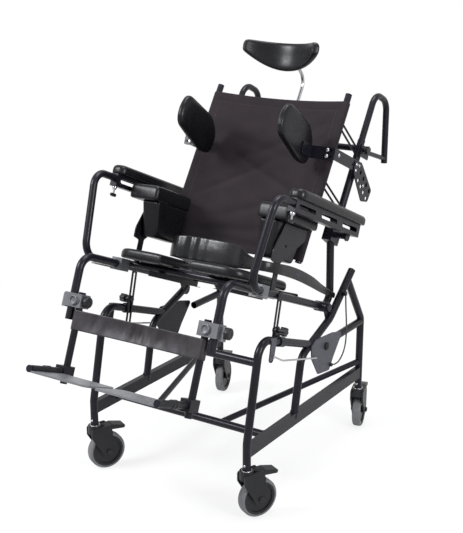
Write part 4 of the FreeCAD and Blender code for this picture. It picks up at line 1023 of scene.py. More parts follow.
@dataclass
class Casters:
    """Four swivel casters."""

    front_turn: float = -27.0
    rear_turn: float = 15.0
    trail: float = 38.0
    wheel_radius: float = 62.5
    cheek_face: float = 23.6
    housing_top: float = 160.4
    race_radius: float = 15.4
    race_thickness: float = 1.5

    def dress(self) -> None:
        """Finish forks, tyres, hubs and pedals."""
        for corner in Corner:
            dress(f"caster_fork_{corner.value}", MOULDED)
            dress(f"caster_tyre_{corner.value}", TYRE)
            dress(f"caster_hub_{corner.value}", HUB)
            dress(f"caster_pedal_{corner.value}", MOULDED)
            self.fittings(corner)

    def fittings(self, corner: Corner) -> None:
        """Axle caps on both cheeks and the bright race above the housing."""
        front = corner.value.startswith("front")
        turn = math.radians(self.front_turn if front else self.rear_turn)
        stem = Vector((HALF_TRACK if corner.value.endswith("left") else -HALF_TRACK,
                       -HALF_BASE if front else HALF_BASE, 0))
        trail = Vector((-math.sin(turn), math.cos(turn), 0)) * self.trail
        across = Vector((math.cos(turn), math.sin(turn), 0))
        axle = stem + trail + Vector((0, 0, self.wheel_radius))
        body = f"fork_{corner.value}"
        profile = ((0, 8.5), (4.0, 8.5), (5.5, 7.0), (6.0, 3.6))
        for word, sign in (("outer", 1), ("inner", -1)):
            start = (axle + across * (sign * self.cheek_face)) * MM
            turned(f"axle_cap_{word}_{corner.value}", start, across * sign, profile, HUB, body)
        centre = (stem + Vector((0, 0, self.housing_top))) * MM
        torus(f"caster_race_{corner.value}", centre, Vector((0, 0, 1)), self.race_radius,
              self.race_thickness, STEEL, body)


@dataclass
class SeatPad:
    """Moulded foam seat, a horseshoe whose aperture opens to the front."""

    half_width: float = 235.0
    front_u: float = -500.0
    rear_u: float = -160.0
    bottom_v: float = 20.0
    thickness: float = 32.0
    corner: float = 60.0
    mouth_half: float = 52.0
    hole_radius: float = 60.0
    hole_u: Pair = (-303.0, -257.0)
    front_rounding: float = 10.0
    corner_turn: float = 60.0
    corner_steps: int = 9
    rear_steps: int = 8
    full_width: float = 70.0
    outer_rim: tuple[Pair, ...] = ((8, 0), (2, 2.2), (0, 8), (0, 15), (1, 22), (5, 28), (13, 31.4),
                                   (32, 32.6))
    inner_rim: tuple[Pair, ...] = ((32, 32.4), (13, 31.2), (5, 28), (1, 22), (0, 15), (0, 8), (2, 2.2))

    def stations(self) -> list[tuple[Vector, Vector, float]]:
        """Inner and outer edge of one half, front to rear, each with its share of the full thickness.

        Returns:
            Pairs of x and u, and a share from 0 to 1.
        """
        made = []
        half, middle = self.thickness / 2, self.half_width - self.corner
        # Front edge with its rounded corner
        for depth in (0.0, 1.5, 4.0, 8.0, 14.0, 24.0, 36.0, 48.0, 60.0):
            turn = math.acos((self.corner - depth) / self.corner)
            gap = max(self.front_rounding - depth, 0.0)
            share = 1 - (self.front_rounding - math.sqrt(self.front_rounding ** 2 - gap ** 2)) / half
            outer = Vector((middle + self.corner * math.sin(turn), self.front_u + depth))
            made.append((Vector((self.mouth_half, self.front_u + depth)), outer, share))
        meet = math.degrees(math.acos(self.mouth_half / self.hole_radius))
        front, rear = self.hole_u
        side = self.half_width
        meet_u = front - self.hole_radius * math.sin(math.radians(meet))
        # Along the mouth, then round the front of the hole
        for share in (0.2, 0.4, 0.6, 0.8, 1.0):
            u = self.front_u + self.corner + (meet_u - self.front_u - self.corner) * share
            made.append((Vector((self.mouth_half, u)), Vector((side, u)), 1.0))
        for share in (0.33, 0.66, 1.0):
            inner = self.on_hole(front, meet * (share - 1))
            made.append((inner, Vector((side, meet_u + (front - meet_u) * share)), 1.0))
        last = self.rear_u - self.corner
        # Along the hole, round the rear corner and along the rear edge
        for share in (0.25, 0.5, 0.75, 1.0):
            made.append((Vector((self.hole_radius, front + (rear - front) * share)),
                         Vector((side, front + (last - front) * share)), 1.0))
        for i in range(1, self.corner_steps + 1):
            share = i / self.corner_steps
            turn = math.radians(90 * share)
            outer = Vector((middle + self.corner * math.cos(turn), last + self.corner * math.sin(turn)))
            made.append((self.on_hole(rear, self.corner_turn * share), outer, 1.0))
        for i in range(1, self.rear_steps + 1):
            share = i / self.rear_steps
            inner = self.on_hole(rear, self.corner_turn + (90 - self.corner_turn) * share)
            made.append((inner, Vector((middle * (1 - share), self.rear_u)), 1.0))
        return made

    def on_hole(self, u: float, angle: float) -> Vector:
        """Point of the aperture's round end at an angle in degrees."""
        turn = math.radians(angle)
        return Vector((self.hole_radius * math.cos(turn), u + self.hole_radius * math.sin(turn)))

    def ring(self, inner: Vector, outer: Vector, share: float, sign: int) -> Ring:
        """Section across the pad from its inner to its outer edge."""
        across = outer - inner
        width = across.length
        near = min(1.0, width / self.full_width)
        full = width / near
        outer_rim = [(full - along, height) for along, height in self.outer_rim]
        rim = [self.outer_rim[0], (full / 2, 0), *outer_rim, *self.inner_rim]
        ring = []
        for along, height in rim:
            place = inner + across * (along * near / width)
            level = self.thickness / 2 + (height - self.thickness / 2) * share
            ring.append(SEAT.point(sign * place.x, place.y, self.bottom_v + level))
        return ring

    def build(self) -> None:
        """Skin the horseshoe from one front end round to the other."""
        half = self.stations()
        rings = [self.ring(*station, -1) for station in half]
        rings += [self.ring(*station, 1) for station in reversed(half[:-1])]
        cushion("seat_cushion", rings, "seat", "seat_pad")


@dataclass
class HipGuard(Sided):
    """Padded block on a tapered panel, with the bracket that carries it."""

    inner_x: float = 188.0
    outer_x: float = 300.0
    front_u: float = -400.0
    rear_u: float = -195.0
    ledge_v: float = 222.0
    top_v: float = 272.0
    panel_inner_x: float = 190.0
    panel_width: float = 68.0
    panel_corner: float = 9.0
    front_gaps: Pair = (20.0, 46.0)
    rear_gaps: Pair = (6.0, 20.0)
    outer_taper: float = 12.0
    bottom_v: float = 106.0
    bracket: float = 4.0
    foot_gap: float = 50.0
    hole_radius: float = 4.5

    def block_ring(self, inset: float, v: float, radius: float) -> Ring:
        """Outline of the top block drawn in by an inset."""
        return self.box_ring((self.inner_x + inset, self.outer_x - inset),
                             (self.front_u + inset, self.rear_u - inset), v, radius)

    def panel_ring(self, v: float, inset: float = 0.0) -> Ring:
        """Outline of the tapered panel at a height."""
        drop = (self.ledge_v - v) / (self.ledge_v - self.bottom_v)
        gaps = (self.front_gaps, self.rear_gaps)
        front_gap, rear_gap = (top + (bottom - top) * drop for top, bottom in gaps)
        ends = (self.front_u + front_gap + inset, self.rear_u - rear_gap - inset)
        outer = self.panel_inner_x + self.panel_width - self.outer_taper * drop - inset
        return self.box_ring((self.panel_inner_x + inset, outer), ends, v, self.panel_corner)

    def build(self) -> None:
        """Make the block, the panel and the bracket."""
        low, high = self.ledge_v, self.top_v
        layers = ((9, low, 8), (4, low + 0.8, 10), (1, low + 3.5, 11), (0, low + 8, 12), (0, low + 30, 12),
                  (0.8, high - 12, 12), (3, high - 5, 11), (8, high - 1.2, 9), (18, high, 7),
                  (40, high + 0.8, 5))
        rings = [self.block_ring(*layer) for layer in layers]
        cushion(self.named("hip_block"), rings, "seat", self.named("hip_guard"))
        bottom = self.bottom_v
        panel_layers = ((bottom, 9), (bottom + 0.8, 4), (bottom + 4, 1), (bottom + 12, 0), (160, 0), (200, 0),
                        (low - 6, 0), (low + 4, 0))
        rings = [self.panel_ring(*layer) for layer in panel_layers]
        cushion(self.named("hip_panel"), rings, "seat", None)
        foot = self.front_u + self.foot_gap
        outline = [(foot + 10, low - 2), (self.rear_u + 4, low - 2), (self.rear_u + 2, low - 34),
                   (foot + 26, 96), (foot + 26, 11.5), (foot, 11.5), (foot, 92), (foot - 30, 98),
                   (foot - 30, 130)]
        outlines = (round_corners(outline, 5), circle(20, self.hole_radius, foot + 40, bottom + 46))
        place = self.side_place(self.panel_inner_x + self.panel_width + self.bracket / 2)
        plate(self.named("hip_bracket"), outlines, self.bracket, place, "seat")


@dataclass
class PelvicBelt:
    """Wide coated belt laid over the seat, with a narrow tail to each upright."""

    thickness: float = 3.6
    widest: float = 78.0
    steps: int = 10
    bow: float = 2.0
    ripple: float = 2.2
    ripple_pitch: float = 5.2
    slack_x: float = -62.0
    slack_width: float = 48.0
    eyelet_place: Place = (283.6, -237.0, 78.0)
    eyelet_radius: float = 6.0
    eyelet_thickness: float = 1.6

    def stations(self) -> list[tuple[Vector, Vector]]:
        """Lower and upper edge points from the right anchor to the left one."""
        left = ((70, -322, 59, 135), (125, -340, 58, 127), (172, -372, 58, 106), (222, -402, 59, 94),
                (254, -402, 60, 92), (274.7, -366, 61, 93), (279.7, -300, 61, 96), (280.7, -220, 58, 94),
                (281.7, -130, 50, 84), (280.7, -50, 42, 68), (277.7, 16, 38, 60), (276.6, 62, 36, 54))
        right = ((70, -322, 59, 135), (118, -330, 59, 131), (155, -305, 60, 122), (172, -260, 61, 110),
                 (180, -200, 60, 98), (190, -130, 54, 86), (210, -50, 46, 70), (235, 16, 40, 60),
                 (247.4, 62, 36, 54))
        whole = [(-x, u, low, high) for x, u, low, high in reversed(right)] + [(0, -316, 59, 136), *left]
        return [(Vector((x, u, low)), Vector((x, u, high))) for x, u, low, high in whole]

    def build(self) -> None:
        """Lay the belt along its stations, rippled where it is slack."""
        lower = smooth_points([low for low, _ in self.stations()], 8)
        upper = smooth_points([high for _, high in self.stations()], 8)
        rows = []
        for i, (low, high) in enumerate(zip(lower, upper)):
            before = lower[max(i - 1, 0)]
            after = lower[min(i + 1, len(lower) - 1)]
            run = (after - before).normalized()
            outward = Vector((run.y, -run.x, 0)).normalized()
            slack = math.exp(-((low.x - self.slack_x) / self.slack_width) ** 2)
            row = []
            for j in range(self.steps + 1):
                t = j / self.steps
                bow = self.bow * math.sin(math.pi * t)
                wave = self.ripple * slack * math.sin(low.x / self.ripple_pitch) * (0.4 + 0.6 * t)
                row.append(SEAT.point(*(low.lerp(high, t) + outward * (bow + wave))))
            rows.append(row)
        belt = soften(strip("lap_belt", rows, self.thickness * MM, BELT_CLOTH))
        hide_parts("pelvic_belt")
        ride_with(belt, "seat")
        self.eyelet()

    def eyelet(self) -> None:
        """Ring sewn into the tail of the belt."""
        torus("belt_eyelet", SEAT.point(*self.eyelet_place), Vector((1, 0, 0)), self.eyelet_radius,
              self.eyelet_thickness, EYELET, "seat")


@dataclass
class SeatFrame:
    """Tilting rails, cross tubes, hangers and sockets."""

    clamp_x: float = 241.0
    clamp_u: float = -630.0
    clamp_v: float = -139.0
    grip_x: Pair = (-214.0, 295.0)
    grip_u: float = -612.0

    def dress(self) -> None:
        """Finish the tubes and blocks."""
        for side in Side:
            dress(f"seat_rail_{side.word}", FRAME_COAT)
            self.clamp_heads(side)
            self.clamp_grip(side)
        dress("seat_underframe", FRAME_COAT)
        dress("leg_hangers", FRAME_COAT)
        dress("hanger_blocks", CAST)

    def clamp_heads(self, side: Side) -> None:
        """Large round screw head on the front of the length clamp."""
        start = SEAT.point(side.value * self.clamp_x, self.clamp_u, self.clamp_v)
        profile = ((0, 17), (2.5, 17), (2.5, 15.5), (9, 15.5), (10.5, 14), (10.5, 10.5), (7, 9.8), (7, 3))
        turned(f"length_clamp_head_{side.word}", start, SEAT.direction(0, -1, 0), profile, CAST, "seat")

    def clamp_grip(self, side: Side) -> None:
        """Dark faceted knob of the length clamp, on the same hand of both clamps."""
        x = self.grip_x[1] if side is Side.LEFT else self.grip_x[0]
        start = SEAT.point(x, self.grip_u, self.clamp_v)
        profile = ((-2, 10), (2, 10), (2, 16), (4, 18), (14, 18), (17, 16), (17.5, 9), (16.5, 4))
        turned(f"length_clamp_knob_{side.word}", start, Vector((1, 0, 0)), profile, MOULDED, "seat",
               sides=10)


@dataclass
class Arm(Sided):
    """Flip-up arm with its pad."""

    centre_x: float = 332.0
    half_width: float = 28.0
    front_u: float = -448.0
    rear_u: float = 24.0
    bottom_v: float = 286.1
    thickness: float = 31.0
    clamp_u: float = -440.0
    clamp_v: float = 244.2
    wing_drop: float = 28.0

    def ring(self, inset: float, height: float, radius: float) -> Ring:
        """Outline of the pad drawn in by an inset."""
        half = self.half_width - inset
        return self.box_ring((self.centre_x - half, self.centre_x + half),
                             (self.front_u + inset, self.rear_u - inset), self.bottom_v + height, radius)

    def build(self) -> None:
        """Make the pad and finish the arm frame."""
        top = self.thickness
        layers = ((7, 0, 15), (2.5, 0.6, 19), (0.5, 3, 21), (0, 7, 22), (0, top - 15, 22),
                  (0.8, top - 10, 21.5), (3.2, top - 5, 20), (8, top - 1.5, 16), (14, top, 11),
                  (22, top + 0.6, 4))
        rings = [self.ring(*layer) for layer in layers]
        cushion(self.named("arm_cushion"), rings, self.named("arm"), self.named("arm_pad"))
        dress(self.named("arm_frame"), FRAME_COAT)
        self.clamp()

    def clamp(self) -> None:
        """Bright clamp screw under the front of the channel, with a wing knob."""
        body = self.named("arm")
        x = self.side.value * self.centre_x
        profile = ((0, 8), (7, 8), (7, 6), (11, 6), (11, 3), (26, 3))
        turned(self.named("arm_clamp"), SEAT.point(x, self.clamp_u, self.clamp_v), SEAT.direction(0, 0, -1),
               profile, STEEL, body)
        wing_v = self.clamp_v - self.wing_drop
        rings = []
        for along, size in ((-14, 0.55), (-12.5, 0.9), (-6, 1.0), (6, 1.0), (12.5, 0.9), (14, 0.55)):
            rings.append([SEAT.point(x + a * size, self.clamp_u + along, wing_v + b * size)
                          for a, b in oval(4.5, 6, 2.4, 16)])
        ride_with(soften(loft(self.named("arm_wing"), rings, MOULDED)), body)


@dataclass
class LegRest:
    """Leg tubes, calf strap and footplates."""

    tube_x: float = 231.0
    tube_u: float = -612.0
    tube_radius: float = 11.0
    top_v: float = -167.0
    height: float = 61.0
    sag: float = 26.0
    thickness: float = 3.0
    wrap_turn: float = 250.0
    across_steps: int = 120
    down_steps: int = 14
    tube_gap: float = 0.2
    slack: Pair = (0.9, 0.16)
    ripple_reach: float = 200.0
    crinkle: float = 1.5
    crinkle_pitch: float = 6.3
    wander: float = 2.2
    wander_pitch: float = 31.0
    swell: float = 0.8
    swell_pitch: float = 14.0
    rod_front_u: float = -771.0
    rod_v: float = -357.0

    def ripple(self, x: float, v: float) -> float:
        """Depth of the strap's crinkles in millimetres."""
        fade = max(0.0, 1 - (x / self.ripple_reach) ** 4)
        share = (self.top_v - v) / self.height
        drift = self.wander * math.sin(x / self.wander_pitch)
        wave = math.sin(x / self.crinkle_pitch + drift) * math.sin(math.pi * share)
        return fade * (self.crinkle * wave + self.swell * math.sin(x / self.swell_pitch + 3 * share))

    def strap_row(self, v: float, slack: float) -> list[Vector]:
        """One horizontal line of the strap, from behind one tube round to the other."""
        reach = self.tube_radius + self.tube_gap + self.thickness / 2
        between = []
        for i in range(1, self.across_steps):
            a = 1 - 2 * i / self.across_steps
            dip = self.sag * (1 - a * a) * slack + self.ripple(self.tube_x * a, v)
            between.append((self.tube_x * a, self.tube_u - reach + dip))
        row = wrapped_line(self.tube_x, self.tube_u, reach, self.wrap_turn, between)
        return [SEAT.point(x, u, v) for x, u in row]

    def build(self) -> None:
        """Make the strap and finish the tubes and plates."""
        rows = []
        for i in range(self.down_steps + 1):
            t = i / self.down_steps
            slack = self.slack[0] + self.slack[1] * math.sin(math.pi * t)
            rows.append(self.strap_row(self.top_v - self.height * t, slack))
        strap = soften(strip("calf_band", rows, (self.thickness - 0.4) * MM, STRAP_CLOTH))
        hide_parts("calf_strap")
        ride_with(strap, "legrest")
        dress("leg_tubes", FRAME_COAT)
        for side in Side:
            dress(f"footplate_{side.word}", PLATE)
            self.rod_sleeve(side)

    def rod_sleeve(self, side: Side) -> None:
        """Dark moulded sleeve with two collars over the barrel of a footplate."""
        start = SEAT.point(side.value * self.tube_x, self.rod_front_u, self.rod_v)
        profile = ((0, 10.2), (1, 11.2), (56, 11.2), (57, 13.6), (66, 13.6), (67, 11.2), (72, 11.2),
                   (73, 13.6), (82, 13.6), (83, 11.2), (126, 11.2), (127, 10.2))
        turned(f"footplate_sleeve_{side.word}", start, SEAT.direction(0, 1, 0), profile, MOULDED,
               f"footplate_{side.word}")


@dataclass
class BackRest:
    """Back posts and canes with the fabric sling."""

    cane_x: float = 250.0
    cane_n: float = -135.0
    cane_radius: float = 11.0
    bottom_s: float = -146.0
    top_s: float = 410.0
    thickness: float = 2.6
    sag: float = 30.0
    hem: float = 26.0
    hem_raise: float = 0.9
    hem_roll: float = 8.0
    hem_step: float = 1.2
    cane_gap: float = 0.4
    sag_shares: Pair = (0.82, 0.2)
    spacer_size: Place = (30.0, 60.0, 140.0)
    block_size: Pair = (42.0, 70.0)
    wrap_turn: float = 255.0
    across_steps: int = 90
    down_steps: int = 60
    fold_depth: float = 1.3
    fold_run: float = 130.0
    folds: tuple[tuple[float, ...], ...] = (
        (-0.42, 60.0, 120.0, 15.0, 3.6), (0.34, 40.0, 20.0, 17.0, 3.8), (0.12, -20.0, -70.0, 15.0, 3.4),
        (-0.25, -40.0, 235.0, 19.0, 3.0), (0.5, 90.0, 275.0, 17.0, 3.0), (-0.1, 0.0, -112.0, 13.0, 2.8),
        (0.62, -120.0, 90.0, 14.0, 3.2), (-0.55, 150.0, -20.0, 14.0, 3.0))

    def crease(self, x: float, s: float) -> float:
        """Depth of the soft folds at a place on the sling, in millimetres.

        Args:
            x: Place across the sling.
            s: Height up the back.

        Returns:
            Depth, where each fold has a slope, a centre, a level there, a width and a height.
        """
        edge = 1 - (x / self.cane_x) ** 4
        depth = 0.0
        for slope, centre, level, width, height in self.folds:
            line = level + slope * (x - centre)
            depth += height * math.exp(-((s - line) / width) ** 2) * math.cos((x - centre) / self.fold_run)
        return depth * max(edge, 0.0)

    def sling_row(self, s: float) -> list[Vector]:
        """One line of the sling from behind the left cane to behind the right one."""
        reach = self.cane_radius + self.cane_gap + self.thickness / 2
        top = (self.top_s - s) / (self.top_s - self.bottom_s)
        in_hem = min(self.top_s - s, s - self.bottom_s) < self.hem
        raised = self.hem_raise if in_hem else 0.0
        sag = self.sag * (self.sag_shares[0] + self.sag_shares[1] * math.sin(math.pi * top))
        between = []
        for i in range(1, self.across_steps):
            a = 1 - 2 * i / self.across_steps
            x = self.cane_x * a
            dip = sag * (1 - a * a) + self.crease(x, s) * self.fold_depth
            between.append((x, self.cane_n - reach + dip - raised))
        row = wrapped_line(self.cane_x, self.cane_n, reach, self.wrap_turn, between)
        return [SEAT.back(x, s, n) for x, n in row]

    def levels(self) -> list[float]:
        """Heights of the sling's lines, closer at the hems."""
        low, high = self.bottom_s, self.top_s
        inside = high - low - 2 * self.hem
        inner = [low + self.hem + inside * i / self.down_steps for i in range(self.down_steps + 1)]
        ends = [low, low + self.hem_roll, low + self.hem - self.hem_step]
        tops = [high - self.hem + self.hem_step, high - self.hem_roll, high]
        return ends + inner + tops

    def build(self) -> None:
        """Make the sling with its seams, and finish the frame."""
        rows = [self.sling_row(s) for s in self.levels()]
        sling = soften(strip("back_cloth", rows, self.thickness * MM, SLING_CLOTH))
        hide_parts("back_sling")
        ride_with(sling, "seat")
        self.seams(rows)
        dress_solids("back_frame", FRAME_COAT, self.block)
        dress("lateral_brackets", FRAME_COAT)

    def seams(self, rows: list[list[Vector]]) -> None:
        """Stitch the hems and the cane sleeves."""
        ahead = (SEAT.back(0, 0, -1) - SEAT.back(0, 0, 0)).normalized()
        lift = ahead * (self.thickness / 2 * MM)
        first, last = WRAP_STEPS + 4, len(rows[0]) - WRAP_STEPS - 5
        seams = {f"sling_hem_{word}": rows[level][first:last]
                 for word, level in (("bottom", 3), ("top", len(rows) - 5))}
        for side, column in ((Side.LEFT, first), (Side.RIGHT, last)):
            seams[f"sling_sleeve_{side.word}"] = [row[column] for row in rows[3:-3]]
        for name, line in seams.items():
            ride_with(stitch_row(name, [p + lift for p in line], ahead), "seat")

    def block(self, low: Vector, high: Vector) -> Optional[Finish]:
        """Cast finish of the clamp and the joint blocks; the spacer rods keep the frame's."""
        size = (high - low) / MM
        width, length, height = self.spacer_size
        spacer = size.x < width and size.y > length and size.z < height
        small = size.x < self.block_size[0] and size.y < self.block_size[1]
        return CAST if small and not spacer else None


@dataclass
class Lateral(Sided):
    """Trunk support pad on its slotted arm."""

    inner_x: float = 172.0
    thickness: float = 30.0
    centre_u: float = -265.0
    centre_v: float = 508.0
    half_length: float = 116.0
    half_height: float = 65.0
    pitch: float = 12.0
    shape: tuple[Pair, ...] = ((-0.86, 1), (0.55, 1), (1, 0.35), (1, -0.8), (0.5, -1), (-0.86, -0.62),
                               (-1, 0.1))
    corner: float = 26.0
    inner_gap: float = 2.5
    curl: float = 3.0
    arm_u: float = -170.0
    arm_v: float = 478.0
    arm_height: float = 42.0
    arm_plate: float = 4.0
    arm_end_x: float = 290.2
    slot_x: Pair = (247.2, 282.2)
    slot_rises: Pair = (-10.0, 10.0)
    slot_radius: float = 3.5
    foot_u: Pair = (-230.0, -166.5)
    screw_x: float = 264.7
    screw_u: float = -174.6
    strap_x: float = 285.8
    strap_screw: Pair = (-130.0, 482.0)
    gusset_x: float = 286.1
    gusset_plate: float = 3.2
    gusset_corners: tuple[Pair, ...] = ((-8, 460), (-8, 496), (46, 496), (157, 427), (143, 384), (92, 376),
                                        (10, 440))
    gusset_rows: tuple[tuple[Pair, Pair], ...] = (((46.0, 466.0), (138.0, 421.0)),
                                                  ((40.0, 438.0), (126.0, 394.0)))
    row_holes: int = 4
    gusset_hole: float = 7.5
    gusset_screws: tuple[Pair, ...] = ((6.0, 484.0), (26.0, 484.0), (6.0, 464.0), (84.0, 428.0))
    low_head: tuple[Pair, ...] = ((0, 5.5), (1.0, 5.5), (2.0, 4.2), (2.2, 1.8))
    head: tuple[Pair, ...] = ((0, 6.5), (1.2, 6.5), (1.2, 5.0), (3.0, 4.4), (3.4, 2.0))

    def ring(self, scale: float, share: float) -> Ring:
        """Rounded outline of the pad at a share of its thickness."""
        angle = math.radians(self.pitch)
        corners = [(a * self.half_length, b * self.half_height) for a, b in self.shape]
        ring = []
        for a, b in round_corners(corners, self.corner):
            a, b = a * scale, b * scale
            u = self.centre_u + a * math.cos(angle) + b * math.sin(angle)
            v = self.centre_v - a * math.sin(angle) + b * math.cos(angle)
            curl = self.curl * (a / self.half_length) ** 2
            x = self.inner_x + self.inner_gap + (self.thickness - self.curl) * share - curl
            ring.append(self.at(x, u, v))
        return ring

    def build(self) -> None:
        """Make the pad, its arm and the fixing screws."""
        layers = ((0.3, -0.06), (0.62, -0.035), (0.82, 0.03), (0.92, 0.13), (0.97, 0.26), (0.995, 0.42),
                  (1.0, 0.55), (1.0, 0.62), (0.985, 0.645), (1.0, 0.67), (0.995, 0.8), (0.965, 0.92),
                  (0.91, 0.99), (0.6, 1.0))
        node = self.named("lateral")
        cushion(self.named("trunk_pad"), [self.ring(*layer) for layer in layers], node, node)
        low, high = self.arm_v - self.arm_height / 2, self.arm_v + self.arm_height / 2
        start = self.inner_x + self.thickness
        outlines = [rounded_box_outline((start, self.arm_end_x), (low, high), 5, 6)]
        outlines += [slot_outline(self.slot_x, self.arm_v + rise, self.slot_radius)
                     for rise in self.slot_rises]
        rise = SEAT.direction(0, 0, 1)
        turn = Matrix((self.out(), rise, self.out().cross(rise))).transposed().to_4x4()
        place = Matrix.Translation(SEAT.point(0, self.arm_u + self.arm_plate / 2, 0)) @ turn
        plate(self.named("trunk_arm"), outlines, self.arm_plate, place, node)
        foot = rounded_box_outline(self.foot_u, (low, high), 6, 6)
        foot_place = self.side_place(start + self.arm_plate / 2)
        plate(self.named("trunk_foot"), [foot], self.arm_plate, foot_place, node)
        self.gusset()
        self.screws()

    def gusset(self) -> None:
        """Perforated outer plate of the bracket, with low screw heads."""
        outlines = [round_corners(self.gusset_corners, 8.0)]
        for first, last in self.gusset_rows:
            for i in range(self.row_holes):
                hole = Vector(first).lerp(Vector(last), i / (self.row_holes - 1))
                outlines.append(circle(18, self.gusset_hole, hole.x, hole.y))
        place = self.side_place(self.gusset_x + self.gusset_plate / 2)
        plate(self.named("lateral_gusset"), outlines, self.gusset_plate, place, "seat")
        for number, (u, v) in enumerate(self.gusset_screws):
            start = self.at(self.gusset_x + self.gusset_plate, u, v)
            name = self.named(f"gusset_screw_{number}")
            turned(name, start, self.out(), self.low_head, STEEL, "seat")

    def screws(self) -> None:
        """Bright screws in the arm's slots and one on the bracket's strap."""
        ahead = SEAT.direction(0, -1, 0)
        for number, rise in enumerate(self.slot_rises):
            start = self.at(self.screw_x, self.screw_u, self.arm_v + rise)
            turned(self.named(f"slot_screw_{number}"), start, ahead, self.head, STEEL, "seat")
        start = self.at(self.strap_x, *self.strap_screw)
        turned(self.named("strap_screw"), start, self.out(), self.head, STEEL, "seat")


@dataclass
class Headrest:
    """Curved head pad on its bright stem."""

    tip_u: float = -52.0
    tip_v: float = 818.0
    lean: float = -8.0
    back_gap: float = 22.0
    curve_radius: float = 190.0
    thickness: float = 32.0
    half_width: float = 145.0
    height: float = 94.0
    top_share: float = 0.42
    drop_share: float = 0.63
    end_margin: float = 7.0
    shoulder: float = 16.0
    dish: float = 6.0
    squareness: float = 2.7
    stations: int = 49
    around: int = 40

    def build(self) -> None:
        """Make the pad and its socket, and finish the stem."""
        lean = math.radians(self.lean)
        tip = SEAT.point(0, self.tip_u, self.tip_v)
        up = SEAT.direction(0, math.sin(lean), math.cos(lean))
        ahead = SEAT.direction(0, -math.cos(lean), math.sin(lean))
        middle_radius = self.curve_radius - self.thickness / 2
        axis = tip + ahead * ((self.back_gap + self.curve_radius) * MM)
        top = self.top_share * self.height
        drop = self.drop_share * self.height
        low_radius = (self.half_width ** 2 + drop ** 2) / (2 * drop)
        reach = math.asin((self.half_width - self.end_margin) / middle_radius)
        rings = []
        for i in range(self.stations):
            share = -1 + 2 * i / (self.stations - 1)
            angle = reach * math.sin(share * math.pi / 2)
            x = middle_radius * math.sin(angle)
            bottom = top - self.height + low_radius - math.sqrt(low_radius ** 2 - x ** 2)
            upper = top - self.shoulder * abs(share) ** 9
            closing = math.sqrt(max(0.0, 1 - abs(share) ** 10))
            half_height = max(0.5, (upper - bottom) / 2 * (0.35 + 0.65 * closing))
            half_thick = max(0.4, self.thickness / 2 * closing)
            centre = (upper + bottom) / 2
            outward = Vector((1, 0, 0)) * math.sin(angle) - ahead * math.cos(angle)
            ring = []
            for r, h in oval(half_thick, half_height, self.squareness, self.around):
                dish = self.dish * closing * max(0.0, 1 - (h / half_height) ** 2) if r < 0 else 0.0
                ring.append(axis + outward * ((middle_radius + r + dish) * MM) + up * ((centre + h) * MM))
            rings.append(ring)
        cushion("head_cushion", rings, "headrest", "headrest_pad")
        profile = ((-2, 12), (-2, 16), (-0.5, 18), (8, 18), (14, 20), (self.back_gap - 2, 30),
                   (self.back_gap + 4, 34))
        across = Vector((1, 0, 0))
        socket_rings = []
        for distance, radius in profile:
            middle = tip + ahead * (distance * MM)
            socket_rings.append([middle + (across * c + up * s) * (radius * MM) for c, s in circle(32)])
        socket = loft("head_socket", socket_rings, MOULDED)
        ride_with(socket, "headrest")
        dress("headrest_stem", CHROME)


@dataclass
class PushHandle(Sided):
    """Push handle on one side."""

    knob_height: float = 60.0

    def dress(self) -> None:
        """Finish the loop, its clamp plate and the knob."""
        dress_solids(self.named("push_handle"), FRAME_COAT, self.knob)

    def knob(self, low: Vector, high: Vector) -> Optional[Finish]:
        """Moulded finish of the star knob."""
        return MOULDED if (high - low).z < self.knob_height * MM else None


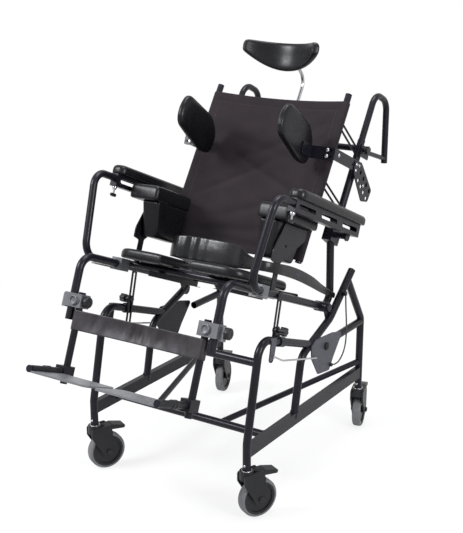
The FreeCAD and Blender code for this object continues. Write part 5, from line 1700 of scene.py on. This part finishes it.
@dataclass
class Studio:
    """White room, soft lights and the camera of the photograph."""

    image_height: float = 533.0
    focal_pixels: float = 1039.6
    sensor_height: float = 24.0
    far_limit: float = 200.0
    yaw: float = 32.83
    pitch: float = 16.36
    position: Place = (1.784, -2.767, 1.623)
    aim: Place = (0.0, 0.0, 0.8)
    lamp_colour: Colour = (0.95, 0.96, 1.0)
    room_light: float = 0.36
    floor_size: float = 40.0
    floor_grey: float = 0.86
    floor_glow: float = 0.8
    shadow_reach: Pair = (0.7, 2.2)

    def camera(self) -> None:
        """Place the camera at the photograph's view."""
        data = bpy.data.cameras.new("view")
        data.sensor_fit = "VERTICAL"
        data.sensor_height = self.sensor_height
        data.lens = self.focal_pixels / self.image_height * self.sensor_height
        data.clip_end = self.far_limit
        camera = put("view", data)
        yaw, pitch = math.radians(self.yaw), math.radians(self.pitch)
        ahead = Vector((-math.sin(yaw) * math.cos(pitch), math.cos(yaw) * math.cos(pitch), -math.sin(pitch)))
        right = Vector((math.cos(yaw), math.sin(yaw), 0))
        up = right.cross(ahead)
        turn = Matrix((right, up, -ahead)).transposed().to_4x4()
        camera.matrix_world = Matrix.Translation(Vector(self.position)) @ turn
        bpy.context.scene.camera = camera

    def lamp(self, name: str, place: Place, size: float, power: float) -> None:
        """Add a square soft light that faces the chair.

        Args:
            name: Name of the light.
            place: Where it stands.
            size: Side of the square.
            power: Light in watts.
        """
        data = bpy.data.lights.new(name, "AREA")
        data.size = size
        data.energy = power
        data.color = self.lamp_colour
        lamp = put(name, data)
        lamp.location = place
        lamp.rotation_euler = (Vector(self.aim) - Vector(place)).to_track_quat("-Z", "Y").to_euler()

    def seen(self, tree: bpy.types.NodeTree) -> Socket:
        """Whether a ray comes from the camera, straight or by way of gloss or glass."""
        path = tree.nodes.new("ShaderNodeLightPath")
        total = path.outputs["Is Camera Ray"]
        for kind in ("Is Glossy Ray", "Is Transmission Ray"):
            join = tree.nodes.new("ShaderNodeMath")
            join.operation = "ADD"
            join.use_clamp = True
            tree.links.new(total, join.inputs[0])
            tree.links.new(path.outputs[kind], join.inputs[1])
            total = join.outputs[0]
        return total

    def world(self) -> None:
        """White surroundings with a plain level of light."""
        world = bpy.data.worlds.new("white_room")
        bpy.context.scene.world = world
        world.use_nodes = True
        tree = world.node_tree
        back = tree.nodes["Background"]
        back.inputs["Color"].default_value = (1, 1, 1, 1)
        level = tree.nodes.new("ShaderNodeMapRange")
        set_inputs(level, {"To Min": self.room_light, "To Max": 1.0})
        tree.links.new(self.seen(tree), level.inputs["Value"])
        tree.links.new(level.outputs["Result"], back.inputs["Strength"])

    def floor(self) -> None:
        """Pale floor that keeps a soft shadow."""
        half = self.floor_size / 2
        corners = [Vector((x, y, 0)) for x, y in ((-half, -half), (half, -half), (half, half), (-half, half))]
        mesh = bpy.data.meshes.new("floor")
        mesh.from_pydata([tuple(c) for c in corners], [], [(0, 1, 2, 3)])
        floor = put("floor", mesh)
        desk = Desk("pale_floor")
        grey = self.floor_grey
        set_inputs(desk.shader, {"Base Color": (grey, grey, grey, 1), "Roughness": 0.9,
                                 "Specular IOR Level": 0.0})
        glow = desk.node("ShaderNodeEmission")
        mix = desk.node("ShaderNodeMixShader")
        distance = desk.node("ShaderNodeVectorMath", operation="LENGTH")
        desk.link(desk.place(), distance.inputs[0])
        fade = desk.node("ShaderNodeMapRange", interpolation_type="SMOOTHSTEP")
        start, end = self.shadow_reach
        set_inputs(fade, {"From Min": start, "From Max": end, "To Min": self.floor_glow, "To Max": 1.0})
        desk.link(distance.outputs["Value"], fade.inputs["Value"])
        share = desk.math("MULTIPLY", self.seen(desk.tree), fade.outputs["Result"])
        desk.link(share, mix.inputs[0])
        desk.link(desk.shader.outputs["BSDF"], mix.inputs[1])
        desk.link(glow.outputs["Emission"], mix.inputs[2])
        desk.link(mix.outputs["Shader"], desk.tree.nodes["Material Output"].inputs["Surface"])
        mesh.materials.append(desk.material)

    def build(self) -> None:
        """Set up the room, the lights and the camera."""
        scene = bpy.context.scene
        scene.view_settings.view_transform = "Standard"
        self.world()
        self.floor()
        self.camera()
        self.lamp("key", (-1.9, -2.4, 3.0), 1.2, 165)
        self.lamp("side", (3.0, -0.8, 1.9), 1.0, 75)
        self.lamp("top", (0.3, 0.4, 3.6), 1.5, 85)


def main() -> None:
    """Build the chair's pieces in order and report them."""
    logging.basicConfig(level=logging.INFO, format="%(name)s: %(message)s")
    Studio().build()
    Base().dress()
    TiltCable().build()
    Casters().dress()
    SeatFrame().dress()
    SeatPad().build()
    PelvicBelt().build()
    LegRest().build()
    BackRest().build()
    Headrest().build()
    for side in Side:
        HipGuard(side).build()
        Arm(side).build()
        Lateral(side).build()
        PushHandle(side).dress()
    bpy.context.view_layer.update()


if __name__ == "__main__":
    main()
